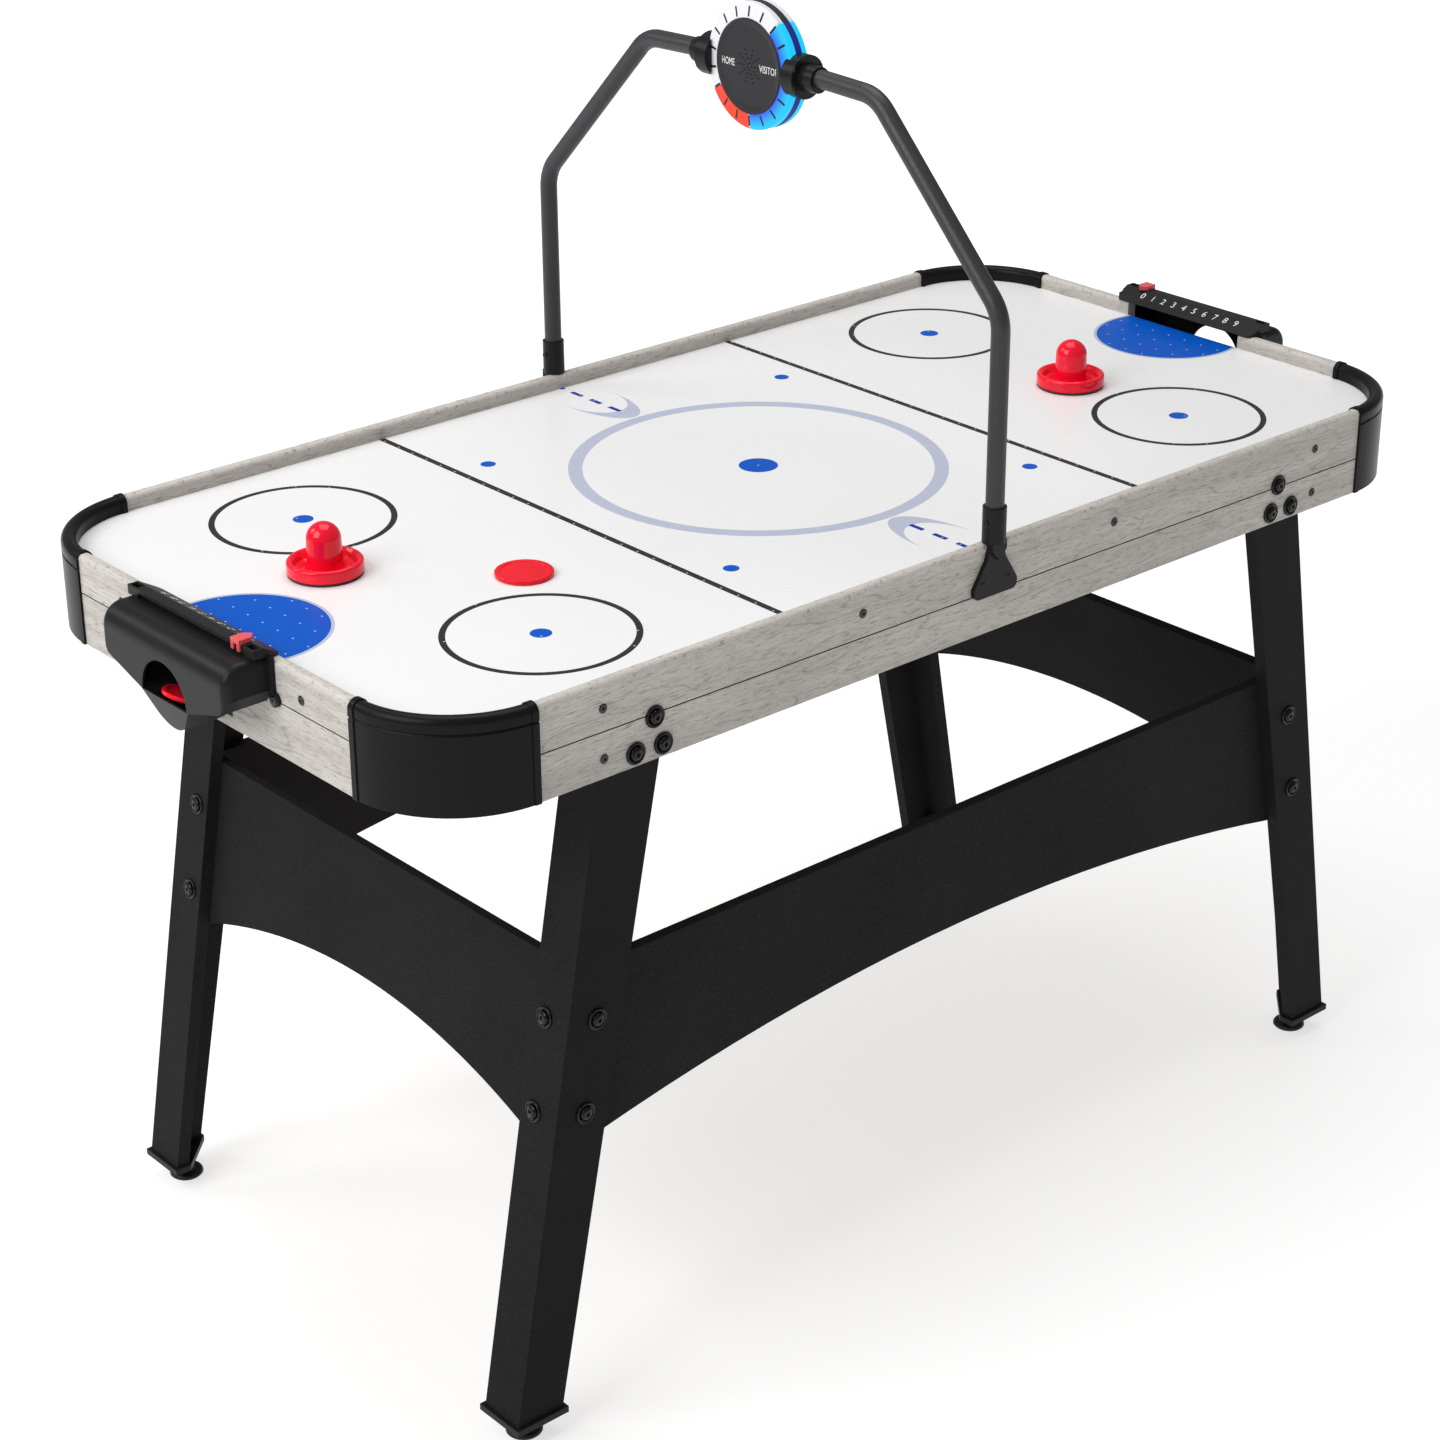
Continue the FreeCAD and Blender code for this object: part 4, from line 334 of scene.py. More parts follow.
def gloss(name, colour, rough, edge=0.0006, shine=0.5):
    """Gloss plastic: faint flow marks, hairline scratches and a soft edge."""
    t = Tree(name)
    place = t.place()
    cloud = t.noise(place, 30.0, 4.0, 0.55)
    hair = t.noise(t.stretched(place, (40, 900, 40), (0.3, 0.2, 0.9)), 2.0, 3.0)
    scratch = t.span(hair, 0.66, 0.74, 0.0, 0.12)
    t.set(Base_Color=t.mix(t.span(cloud, 0.3, 0.7), toned(colour, 0.86), toned(colour, 1.05)))
    t.set(Roughness=t.plus(t.span(cloud, 0.3, 0.7, rough * 0.7, rough * 1.3), scratch))
    t.set(Normal=t.bump(t.noise(place, 90.0, 2.0), 0.00004, 0.5, t.soft_edge(edge)))
    t.set(Specular_IOR_Level=shine)
    return t.material


def metal(name, colour, rough):
    """Plated metal: drawn lines and patches of duller plating."""
    t = Tree(name)
    place = t.place()
    lines = t.noise(t.stretched(place, (400, 400, 30)), 2.0, 4.0, 0.6)
    stain = t.noise(place, 60.0, 4.0, 0.6)
    t.set(Base_Color=t.mix(t.span(stain, 0.35, 0.75), colour, toned(colour, 0.7)), Metallic=1.0)
    t.set(Roughness=t.span(lines, 0.3, 0.7, rough - 0.08, rough + 0.1))
    t.set(Normal=t.bump(lines, 0.00003, 0.5, t.soft_edge(0.0003)))
    return t.material


def raw_board(name):
    """Bare fibreboard: pale brown with short mixed fibres."""
    t = Tree(name)
    place = t.place()
    fibre = t.noise(t.stretched(place, (300, 500, 500)), 2.0, 5.0, 0.7)
    cloud = t.noise(place, 9.0, 4.0)
    base = t.mix(t.span(fibre, 0.3, 0.7), FIBRE_BROWN, FIBRE_PALE)
    base = t.mix(t.span(cloud, 0.3, 0.8, 0.0, 0.4), base, FIBRE_CLOUD)
    t.set(Base_Color=base, Roughness=t.span(fibre, 0.2, 0.8, 0.75, 0.9))
    t.set(Normal=t.bump(fibre, 0.0002, 0.6))
    return t.material


def felt_material(name):
    """Black felt with a pale fuzz."""
    t = Tree(name)
    place = t.place()
    fuzz = t.noise(place, 1800.0, 5.0, 0.75)
    base = t.mix(t.span(fuzz, 0.3, 0.7), FELT_DARK, FELT_FUZZ)
    t.set(Base_Color=base, Roughness=t.span(fuzz, 0.2, 0.8, 0.88, 1.0), Sheen_Weight=0.2)
    t.set(Normal=t.bump(fuzz, 0.0004, 1.0))
    return t.material


# The air holes are a material's pattern: every HOLE_PITCH both ways, counted from the middle.
HOLE_PITCH = 0.025
HOLE_RADIUS, INKED_HOLE_RADIUS = 0.0005, 0.0010
# The first colour is painted shade: the grey seen in an air hole on the white board.
HOLE_SHADE, HOLE_SHOWING = (0.45, 0.45, 0.46), (0.62, 0.66, 0.72)
BOARD_DULL, BOARD_WHITE = (0.815, 0.811, 0.810), (0.838, 0.834, 0.835)


def air_holes(t, place, radius):
    """Where the air holes are: 1 in a hole, 0 between them."""
    x, y, _ = t.parts(place)
    nearest = []
    for run in (x, y):
        step = t.minus(t.math("PINGPONG", run, HOLE_PITCH), HOLE_PITCH / 2)
        nearest.append(t.minus(HOLE_PITCH / 2, t.math("ABSOLUTE", step)))
    away = t.length(*nearest)
    return t.span(away, radius * 0.7, radius * 1.3, 1.0, 0.0)


def playing_board(name):
    """White gloss board with its rows of fine air holes, each painted as a grey speck of shade,
    and a faint haze.
    """
    t = Tree(name)
    place = t.place()
    cloud = t.noise(place, 3.0, 4.0, 0.55)
    haze = t.noise(place, 40.0, 5.0, 0.6)
    base = t.mix(t.span(cloud, 0.3, 0.7), BOARD_DULL, BOARD_WHITE)
    hole = air_holes(t, place, HOLE_RADIUS)
    # Painted shade: the grey in each air hole stands for the shade inside it.
    base = t.mix(t.times(hole, 0.12), base, HOLE_SHADE)
    t.set(Base_Color=base, Specular_IOR_Level=0.35)
    t.set(Roughness=t.span(haze, 0.25, 0.75, 0.26, 0.32))
    t.set(Normal=t.bump(t.minus(1.0, hole), 0.00002, 0.2))
    return t.material


def ink(name, colour):
    """Screen-printed ink, with the air holes as pale specks in it."""
    t = Tree(name)
    place = t.place()
    dots = t.noise(place, 1400.0, 2.0, 0.6)
    cloud = t.noise(place, 14.0, 3.0)
    thin = tuple(c * 0.84 + 0.004 for c in colour)
    base = t.mix(t.span(dots, 0.35, 0.7, 0.0, 0.6), colour, thin)
    base = t.mix(t.times(air_holes(t, place, INKED_HOLE_RADIUS), 0.8), base, HOLE_SHOWING)
    t.set(Base_Color=base, Roughness=t.span(cloud, 0.3, 0.7, 0.24, 0.34))
    t.set(Normal=t.bump(dots, 0.00002, 0.4), Specular_IOR_Level=0.05)
    return t.material


# The scorer's light ring, as fractions of a turn, clockwise from the top as a player at the
# left-hand goal sees it. Both faces light the same sectors.
BLUE_FROM, BLUE_TO, RED_TO = 40 / 360, 180 / 360, 240 / 360
RING_BAR = 1 / 18
BAR_THIN, BAR_SOFT = 0.00115, 0.00135
BAR_IN, BAR_OUT = 0.0497, 0.0602
SHELL_RIM_IN, SHELL_RIM_OUT = 0.052, 0.054
FROST_DULL, FROST_WHITE = (0.66, 0.67, 0.70), (0.78, 0.79, 0.82)
GLOW_OUTER, GLOW_INNER = (0.0, 0.62, 0.98), (0.02, 0.13, 0.95)
GLOW_RED = (0.98, 0.050, 0.008)
BAR_BLACK, BAR_NAVY = (0.015, 0.015, 0.02), (0.0, 0.0, 0.030)
SHELL_DARK, SHELL_CLOUD = (0.016, 0.016, 0.018), (0.027, 0.027, 0.030)
# Painted glow: the blue of the ring's light on the shell's rim.
SHELL_PAINTED_GLOW = (0.0, 0.0, 0.20)
UNLIT = (0, 0, 0)


def ring_angle(t, place):
    """The fraction of a turn round the pod, and the distance from its middle."""
    _, y, z = t.parts(place)
    up = t.minus(z, POD_Z)
    turn = t.math("DIVIDE", t.math("ARCTAN2", t.times(y, -1.0), up), math.tau)
    return t.math("FRACT", t.plus(turn, 1.0)), t.length(y, up)


def lens_material(name):
    """Frosted ring: white, with a lit blue arc and a lit red arc, and a dark bar at each step."""
    t = Tree(name)
    place = t.place()
    turn, radius = ring_angle(t, place)
    blue = t.between(turn, BLUE_FROM, BLUE_TO)
    red = t.between(turn, BLUE_TO, RED_TO)
    inward = t.span(radius, POD_RADIUS * 0.76, POD_RADIUS * 0.95, 1.0, 0.0)
    frost = t.noise(place, 700.0, 3.0, 0.6)
    white = t.mix(t.span(frost, 0.3, 0.7), FROST_DULL, FROST_WHITE)
    lit = t.mix(red, t.mix(inward, GLOW_OUTER, GLOW_INNER), GLOW_RED)
    step = t.math("FRACT", t.math("DIVIDE", turn, RING_BAR))
    step = t.math("ABSOLUTE", t.minus(step, 0.5))
    aside = t.times(t.times(t.minus(0.5, step), RING_BAR * math.tau), radius)
    thin = t.span(aside, BAR_THIN, BAR_SOFT, 1.0, 0.0)
    bars = t.times(thin, t.between(radius, BAR_IN, BAR_OUT, 0.0003))
    shown = t.math("MAXIMUM", blue, red)
    t.set(Base_Color=t.mix(bars, t.mix(shown, white, BAR_BLACK), BAR_BLACK))
    dark = t.mix(blue, UNLIT, BAR_NAVY)
    t.set(Emission_Color=t.mix(bars, t.mix(shown, UNLIT, lit), dark), Emission_Strength=0.97)
    t.set(Roughness=t.span(frost, 0.3, 0.7, 0.30, 0.40), Specular_IOR_Level=0.15)
    t.set(Normal=t.bump(t.minus(frost, bars), 0.00012, 0.5, t.soft_edge(0.0008)))
    return t.material


def shell_material(name):
    """Charcoal moulding whose rim has the blue light of the ring painted on as a glow."""
    t = Tree(name)
    place = t.place()
    turn, radius = ring_angle(t, place)
    # Painted light: the shell's rim glows blue beside the lit arc, for the ring's light falling on
    # it; the shell is no lamp.
    rim = t.span(radius, SHELL_RIM_IN, SHELL_RIM_OUT)
    lit = t.times(t.between(turn, BLUE_FROM, BLUE_TO), rim)
    cells = t.cells(place, 1100.0)
    cloud = t.noise(place, 14.0, 4.0, 0.6)
    t.set(Base_Color=t.mix(t.span(cloud, 0.3, 0.8), SHELL_DARK, SHELL_CLOUD))
    t.set(Roughness=t.span(cloud, 0.2, 0.8, 0.40, 0.52), Specular_IOR_Level=0.22)
    t.set(Emission_Color=t.mix(lit, UNLIT, SHELL_PAINTED_GLOW), Emission_Strength=1.0)
    t.set(Normal=t.bump(cells, GRAIN_DEPTH, 1.0, t.soft_edge(0.0006)))
    return t.material


def coated_metal(name, colour, rough):
    """Glossy black coating: bright rims, faint pits and rubbed patches."""
    t = Tree(name)
    place = t.place()
    pits = t.noise(place, 900.0, 3.0, 0.6)
    rubbed = t.noise(place, 120.0, 4.0, 0.6)
    worn = tuple(c + 0.005 for c in colour)
    t.set(Base_Color=t.mix(t.span(rubbed, 0.5, 0.8), colour, worn))
    t.set(Roughness=t.span(rubbed, 0.3, 0.8, rough, rough + 0.10), Specular_IOR_Level=0.26)
    t.set(Normal=t.bump(pits, 0.00001, 0.4))
    return t.material


PLASTIC_RED = (0.94, 0.005, 0.030)
INK_BLUE = (0.002, 0.092, 0.52)

MATERIALS = {
    "playfield_white": playing_board("board_white"),
    "grey_side": weathered_wood("wood_side", "x"),
    "grey_end": weathered_wood("wood_end", "y"),
    "raw_board": raw_board("fibreboard"),
    "black_board": black_laminate("laminate_black"),
    "black_moulding": moulded("casting_black", (0.0062, 0.0060, 0.0062), 0.30, 700.0, shine=0.10),
    "goal_black": moulded("goal_black", (0.0105, 0.0105, 0.0115), 0.34, 800.0, shine=0.14),
    "score_black": moulded("score_black", (0.012, 0.012, 0.013), 0.42, 900.0),
    "marker_coral": gloss("marker_coral", (0.80, 0.095, 0.10), 0.3),
    "black_fastener": metal("fastener_black", (0.030, 0.030, 0.032), 0.30),
    "bright_fastener": metal("fastener_bright", (0.62, 0.62, 0.60), 0.3),
    "screw_dark": metal("screw_dark", (0.060, 0.058, 0.058), 0.28),
    "foot_black": moulded("foot_black", (0.010, 0.010, 0.011), 0.45, 900.0),
    "foot_steel": powder_coat("foot_coat", (0.014, 0.014, 0.015), 0.42, 0.00005),
    "arch_charcoal": powder_coat("arch_coat", (0.026, 0.026, 0.029), 0.40, shine=0.4),
    "clamp_black": moulded("clamp_black", (0.0075, 0.0073, 0.0078), 0.32, 900.0, shine=0.16),
    "pod_charcoal": shell_material("pod_charcoal"),
    "pod_lens": lens_material("pod_lens"),
    "board_green": gloss("circuit_green", (0.01, 0.12, 0.05), 0.35),
    "pusher_red": gloss("pusher_red", PLASTIC_RED, 0.09, 0.0009, shine=0.32),
    "felt_black": felt_material("felt"),
    "puck_red": gloss("puck_red", (0.86, 0.006, 0.020), 0.20, 0.0006, shine=0.2),
    "blower_black": moulded("blower_black", (0.012, 0.012, 0.013), 0.5, 600.0),
    "motor_steel": metal("motor_steel", (0.55, 0.55, 0.55), 0.3),
    "rocker_black": gloss("rocker_black", (0.010, 0.010, 0.010), 0.22),
}

for row in RECORD["subparts"]:
    slot = row["material_slot"]
    if row["node"].startswith("arch_bracket"):
        slot = "clamp_black"
    if slot == "grey_board":
        slot = "grey_side" if row["node"].startswith("side") else "grey_end"
    mesh = NODES[row["node"]].data
    mesh.materials.clear()
    mesh.materials.append(MATERIALS[slot])


# --------------------------------------------------------------------------- pieces


def piece(name, mesh, body, material):
    """A visible piece that rides on a body."""
    obj = bpy.data.objects.new(name, mesh)
    SCENE.collection.objects.link(obj)
    mesh.materials.append(material)
    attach(obj, body)
    return obj


def mesh_from(name, bm, smooth):
    """A mesh with its faces turned outward; the working mesh is used up."""
    bmesh.ops.recalc_face_normals(bm, faces=bm.faces)
    for face in bm.faces:
        face.smooth = smooth
    mesh = bpy.data.meshes.new(name)
    bm.to_mesh(mesh)
    bm.free()
    return mesh


def add_plate(bm, loop, low, high):
    """A thin plate with the outline of a loop of (x, y) points."""
    bottom = [bm.verts.new((x, y, low)) for x, y in loop]
    top = [bm.verts.new((x, y, high)) for x, y in loop]
    bm.faces.new(list(reversed(bottom)))
    bm.faces.new(top)
    for i, corner in enumerate(bottom):
        j = (i + 1) % len(loop)
        bm.faces.new((corner, bottom[j], top[j], top[i]))


def add_band(bm, inner, outer, low, high, closed=True):
    """A thin plate between two rows of (x, y) points of the same length."""
    rows = [
        [bm.verts.new((x, y, z)) for (x, y), z in ((a, low), (b, low), (b, high), (a, high))]
        for a, b in zip(inner, outer)
    ]
    for i in range(len(rows) if closed else len(rows) - 1):
        a, b = rows[i], rows[(i + 1) % len(rows)]
        for k in range(4):
            m = (k + 1) % 4
            bm.faces.new((a[k], b[k], b[m], a[m]))
    if not closed:
        bm.faces.new(rows[0])
        bm.faces.new(list(reversed(rows[-1])))


def arc(x, y, wide, tall=None, start=0.0, end=math.tau, steps=128, ends=False):
    """Points along an ellipse's arc; the last point is there only where ends is true."""
    tall = wide if tall is None else tall
    turns = [start + (end - start) * i / steps for i in range(steps + (1 if ends else 0))]
    return [(x + wide * math.cos(a), y + tall * math.sin(a)) for a in turns]


TURN_STEPS = 48


def add_turned(bm, profile, place):
    """A closed solid turned about its own Z; a radius may be a function of the angle."""
    rings = []
    for radius, height in profile:
        if radius == 0:
            rings.append([bm.verts.new(place @ Vector((0, 0, height)))])
            continue
        ring = []
        for i in range(TURN_STEPS):
            a = math.tau * i / TURN_STEPS
            r = radius(a) if callable(radius) else radius
            ring.append(bm.verts.new(place @ Vector((r * math.cos(a), r * math.sin(a), height))))
        rings.append(ring)
    for low, high in zip(rings, rings[1:]):
        for i in range(TURN_STEPS):
            j = (i + 1) % TURN_STEPS
            corners = [low[i % len(low)], low[j % len(low)]]
            corners += [high[j % len(high)], high[i % len(high)]]
            bm.faces.new(list(dict.fromkeys(corners)))


def add_open_turned(bm, profile, place):
    """A turned solid with a bore: the profile runs all the way round and closes."""
    rings = [
        [
            bm.verts.new(place @ Vector((r * math.cos(a), r * math.sin(a), h)))
            for a in (math.tau * i / TURN_STEPS for i in range(TURN_STEPS))
        ]
        for r, h in profile
    ]
    for low, high in zip(rings, rings[1:] + rings[:1]):
        for i in range(TURN_STEPS):
            j = (i + 1) % TURN_STEPS
            bm.faces.new((low[i], low[j], high[j], high[i]))


def solids(node):
    """The corner points of each separate solid of a CAD node."""
    bm = bmesh.new()
    bm.from_mesh(NODES[node].data)
    bmesh.ops.remove_doubles(bm, verts=bm.verts, dist=1e-6)
    left, found = set(bm.verts), []
    while left:
        group, edge = set(), [left.pop()]
        while edge:
            vert = edge.pop()
            group.add(vert)
            for other in (e.other_vert(vert) for e in vert.link_edges):
                if other in left:
                    left.discard(other)
                    edge.append(other)
        found.append([v.co.copy() for v in group])
    bm.free()
    low = [Vector(min(p[k] for p in points) for k in range(3)) for points in found]
    order = sorted(range(len(found)), key=lambda i: tuple(round(c, 4) for c in low[i]))
    return [found[i] for i in order]


def middle_of(points):
    """The middle of the points' box."""
    return Vector((min(p[k] for p in points) + max(p[k] for p in points)) / 2 for k in range(3))


def standing(seat, outward):
    """A place whose own Z points outward from the seat."""
    turn = outward.to_track_quat("Z", "Y").to_matrix().to_4x4()
    return Matrix.Translation(seat) @ turn


# --------------------------------------------------------------------------- prints on the board

# Measures in metres from the middle of the board; the inks stand just above its surface.
PRINT_LOW = PLAY_TOP - 0.00005
PRINT_HIGH = PLAY_TOP + 0.00012
GREY_UNDER = 0.00002
GOAL_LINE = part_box("playfield")[1].x
SIDE_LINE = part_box("playfield")[1].y
END_GAP, SIDE_GAP = 0.0003, 0.0002
LINE_AT, LINE_WIDE = 0.2487, 0.0075
SPOT_X, SPOT_Y, SPOT_RADIUS = 0.446, 0.1944, 0.0106
NEAR_X, NEAR_Y, NEAR_RADIUS = 0.210, 0.1945, 0.0082
MIDDLE_RADIUS = 0.0208
RING_OUT, RING_IN = 0.0954, 0.0890
CENTRE_OUT, CENTRE_IN = 0.2010, 0.1860
CREASE_AT, CREASE_RADIUS = 0.648, 0.083
CREASE_OUTLINE, CREASE_EDGE = 0.0001, 0.0034
HORN_FROM, HORN_WIDE = 0.281, 0.0335
HORN_OUT, HORN_IN = 0.077, 0.051
HORN_TIP, HORN_TRIM = 0.0006, 0.03
DASHES = 4
DASH_FIRST, DASH_STEP, DASH_LONG, DASH_WIDE = 0.2292, 0.0332, 0.0188, 0.0056


def print_piece(name, bm, material):
    """One ink's prints, as thin plates on the board."""
    piece(name, mesh_from(name, bm, False), "table", material)


def crease(side, radius, reach_radius):
    """The part of a goal crease's circle that lies on the board."""
    reach = math.acos((GOAL_LINE - END_GAP - CREASE_AT) / reach_radius)
    start = reach if side > 0 else reach - math.pi
    return arc(side * CREASE_AT, 0, radius, None, start, start + math.tau - 2 * reach, 96, True)


def make_prints():
    """The lines, spots, circles, creases, horns and dashes, one piece for each ink."""
    bm = bmesh.new()
    for side in (-1, 1):
        a, b = side * LINE_AT - LINE_WIDE / 2, side * LINE_AT + LINE_WIDE / 2
        y = SIDE_LINE - SIDE_GAP
        add_plate(bm, [(a, -y), (b, -y), (b, y), (a, y)], PRINT_LOW, PRINT_HIGH)
    for sx, sy in QUARTERS:
        x, y = sx * SPOT_X, sy * SPOT_Y
        add_band(bm, arc(x, y, RING_IN), arc(x, y, RING_OUT), PRINT_LOW, PRINT_HIGH)
    print_piece("print_black", bm, ink("ink_black", (0.030, 0.030, 0.031)))

    bm = bmesh.new()
    for sx, sy in QUARTERS:
        spot = arc(sx * SPOT_X, sy * SPOT_Y, SPOT_RADIUS, steps=48)
        near = arc(sx * NEAR_X, sy * NEAR_Y, NEAR_RADIUS, steps=48)
        add_plate(bm, spot, PRINT_LOW, PRINT_HIGH)
        add_plate(bm, near, PRINT_LOW, PRINT_HIGH)
    add_plate(bm, arc(0, 0, MIDDLE_RADIUS, steps=64), PRINT_LOW, PRINT_HIGH)
    for side in (-1, 1):
        add_plate(bm, crease(side, CREASE_RADIUS, CREASE_RADIUS), PRINT_LOW, PRINT_HIGH)
    print_piece("print_blue", bm, ink("ink_blue", INK_BLUE))

    bm = bmesh.new()
    add_band(bm, arc(0, 0, CENTRE_IN), arc(0, 0, CENTRE_OUT), PRINT_LOW, PRINT_HIGH)
    for side in (-1, 1):
        y = side * HORN_FROM
        start, end = (math.pi, math.tau) if side > 0 else (0.0, math.pi)
        ends = (start + HORN_TRIM, end - HORN_TRIM, 48, True)
        inner = arc(0, y, HORN_WIDE - HORN_TIP, HORN_IN, *ends)
        outer = arc(0, y, HORN_WIDE, HORN_OUT, *ends)
        add_band(bm, inner, outer, PRINT_LOW - GREY_UNDER, PRINT_HIGH - GREY_UNDER, closed=False)
        rim = CREASE_RADIUS + CREASE_EDGE
        inner, outer = crease(side, CREASE_RADIUS + CREASE_OUTLINE, rim), crease(side, rim, rim)
        add_band(bm, inner, outer, PRINT_LOW, PRINT_HIGH, closed=False)
    print_piece("print_grey", bm, ink("ink_grey", (0.470, 0.505, 0.620)))

    bm = bmesh.new()
    for side in (-1, 1):
        for index in range(DASHES):
            near = DASH_FIRST + index * DASH_STEP
            far = min(near + DASH_LONG, SIDE_LINE - SIDE_GAP)
            y0, y1 = sorted((side * near, side * far))
            x = DASH_WIDE / 2
            add_plate(bm, [(-x, y0), (x, y0), (x, y1), (-x, y1)], PRINT_LOW, PRINT_HIGH)
    print_piece("print_navy", bm, ink("ink_navy", (0.012, 0.030, 0.33)))


# --------------------------------------------------------------------------- fasteners


def hexagon(size):
    """The radius of a hexagon's edge at an angle."""
    return lambda a: size / math.cos((a % (math.pi / 3)) - math.pi / 6)


def cross(long, half):
    """The radius of a plus sign's edge at an angle."""

    def radius(a):
        c, s = abs(math.cos(a)), abs(math.sin(a))
        reach = long / max(c, s)
        return reach if reach * min(c, s) <= half else half / min(c, s)

    return radius


# Turned profiles as (radius, height above the seat); a socket or recess is cut by its own radius.
SOCKET, RECESS = hexagon(0.0022), cross(0.0021, 0.0005)
CUP_WASHER = [
    (0.0033, 0.0), (0.0100, 0.0), (0.0109, 0.0004), (0.0112, 0.0012), (0.0108, 0.0022),
    (0.0099, 0.0027), (0.0090, 0.0025), (0.0083, 0.0018), (0.0077, 0.0012), (0.0033, 0.0012),
]
DOMED_HEAD = [
    (0, -0.020), (0.003, -0.020), (0.003, 0.0013), (0.0064, 0.0013), (0.0068, 0.0019),
    (0.0066, 0.0028), (0.0058, 0.0039), (0.0046, 0.0046), (0.0034, 0.0049), (SOCKET, 0.0050),
    (SOCKET, 0.0026), (0, 0.0021),
]
FLUSH_SCREW = [
    (0, -0.009), (0.0013, -0.009), (0.0013, -0.0026), (0.0041, -0.0003), (0.0047, 0.0001),
    (0.0047, 0.0005), (0.0040, 0.0010), (0.0029, 0.0012), (RECESS, 0.0011), (RECESS, -0.0006),
    (0, -0.0010),
]
PAN_SCREW = [
    (0, -0.005), (0.0013, -0.005), (0.0013, 0.0), (0.0036, 0.0), (0.0038, 0.0008),
    (0.0035, 0.0018), (0.0028, 0.0024), (RECESS, 0.0026), (RECESS, 0.0010), (0, 0.0006),
]
# How far each kind of head sits inside the CAD's, and how its angle follows its place.
FLUSH_SUNK, PAN_SUNK, COLLAR_SUNK = 0.0009, 0.0026, 0.002
COLLAR_SCALE = 0.8
FLUSH_TURN, PAN_TURN = 40, 50
RIM_FLAT = 0.004
FASTENER_BLACK = (0.0025, 0.0025, 0.0028)


def fastener_piece(name, bm, material, node, smooth=False):
    """A piece drawn in place of the CAD's plain fasteners."""
    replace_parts(piece(name, mesh_from(name, bm, smooth), "table", material), node)


def washer_places():
    """Each frame bolt's seat and outward direction, read from the washers."""
    places = []
    for points in solids("frame_washers"):
        centre = middle_of(points)
        ring = [p - centre for p in points]
        outward = Vector((0, math.copysign(1, centre.y), 0))
        if max(abs(p.y) for p in ring) > RIM_FLAT:
            far = max(ring, key=lambda p: p.z)
            outward = Vector((math.copysign(1, centre.x) * far.z, 0, abs(far.x))).normalized()
        depth = max(p.dot(outward) for p in ring)
        places.append((centre - outward * depth, outward))
    return places


def make_bolts():
    """Cupped washers and domed hexagon-socket heads, seated where the CAD's are."""
    cups, heads = bmesh.new(), bmesh.new()
    for seat, outward in washer_places():
        place = standing(seat, outward)
        add_open_turned(cups, CUP_WASHER, place)
        add_turned(heads, DOMED_HEAD, place)
    washer_black = coated_metal("washer_gloss", FASTENER_BLACK, 0.12)
    fastener_piece("cup_washers", cups, washer_black, "frame_washers", True)
    head_black = coated_metal("bolt_gloss", FASTENER_BLACK, 0.10)
    fastener_piece("socket_bolts", heads, head_black, "frame_bolts", True)


def away_from_middle(centre, axis):
    """Straight outward along one axis, to whichever side the point is on."""
    outward = Vector((0, 0, 0))
    outward[axis] = math.copysign(1, centre[axis])
    return outward


def sunk(points, outward, depth):
    """The seat of a head whose top is this far inside the CAD's own."""
    centre = middle_of(points)
    return centre + outward * (max(p.dot(outward) for p in points) - centre.dot(outward) - depth)


def turned_by(angle):
    """Every screw stops at its own angle."""
    return Matrix.Rotation(angle, 4, "Z")


def make_screws():
    """Cross-recess screws: flush ones in the aprons, pan heads on the arch."""
    wood, arch = bmesh.new(), bmesh.new()
    for points in solids("apron_screws"):
        centre = middle_of(points)
        outward = away_from_middle(centre, 1 if abs(centre.y) > SIDE_LINE else 0)
        seat = sunk(points, outward, FLUSH_SUNK)
        add_turned(wood, FLUSH_SCREW, standing(seat, outward) @ turned_by(seat.x * FLUSH_TURN))
    for points in solids("arch_screws"):
        wide = [max(p[k] for p in points) - min(p[k] for p in points) for k in range(3)]
        collar = wide[0] < wide[1]
        outward = Vector((-1, 0, 0)) if collar else away_from_middle(middle_of(points), 1)
        seat = sunk(points, outward, COLLAR_SUNK if collar else PAN_SUNK)
        size = Matrix.Scale(COLLAR_SCALE, 4) if collar else Matrix.Identity(4)
        add_turned(arch, PAN_SCREW, standing(seat, outward) @ turned_by(seat.z * PAN_TURN) @ size)
    fastener_piece("wood_screws", wood, MATERIALS["screw_dark"], "apron_screws")
    black = coated_metal("screw_black", (0.010, 0.010, 0.011), 0.25)
    fastener_piece("pan_screws", arch, black, "arch_screws")


# --------------------------------------------------------------------------- figures and words


def add_text(bm, words, place, size, thick, width=None):
    """Words in a plain sans face, as a solid centred on the place; width stretches them."""
    data = bpy.data.curves.new("words", "FONT")
    data.body = words
    data.size = size
    data.align_x, data.align_y = "CENTER", "CENTER"
    data.extrude = thick / 2
    data.resolution_u = 4
    holder = bpy.data.objects.new("words", data)
    SCENE.collection.objects.link(holder)
    bpy.context.view_layer.update()
    mesh = bpy.data.meshes.new_from_object(holder)
    if width is not None:
        mesh.transform(Matrix.Diagonal((width / holder.dimensions.x, 1, 1, 1)))
    mesh.transform(place)
    bm.from_mesh(mesh)
    bpy.data.meshes.remove(mesh)
    bpy.data.objects.remove(holder)
    bpy.data.curves.remove(data)


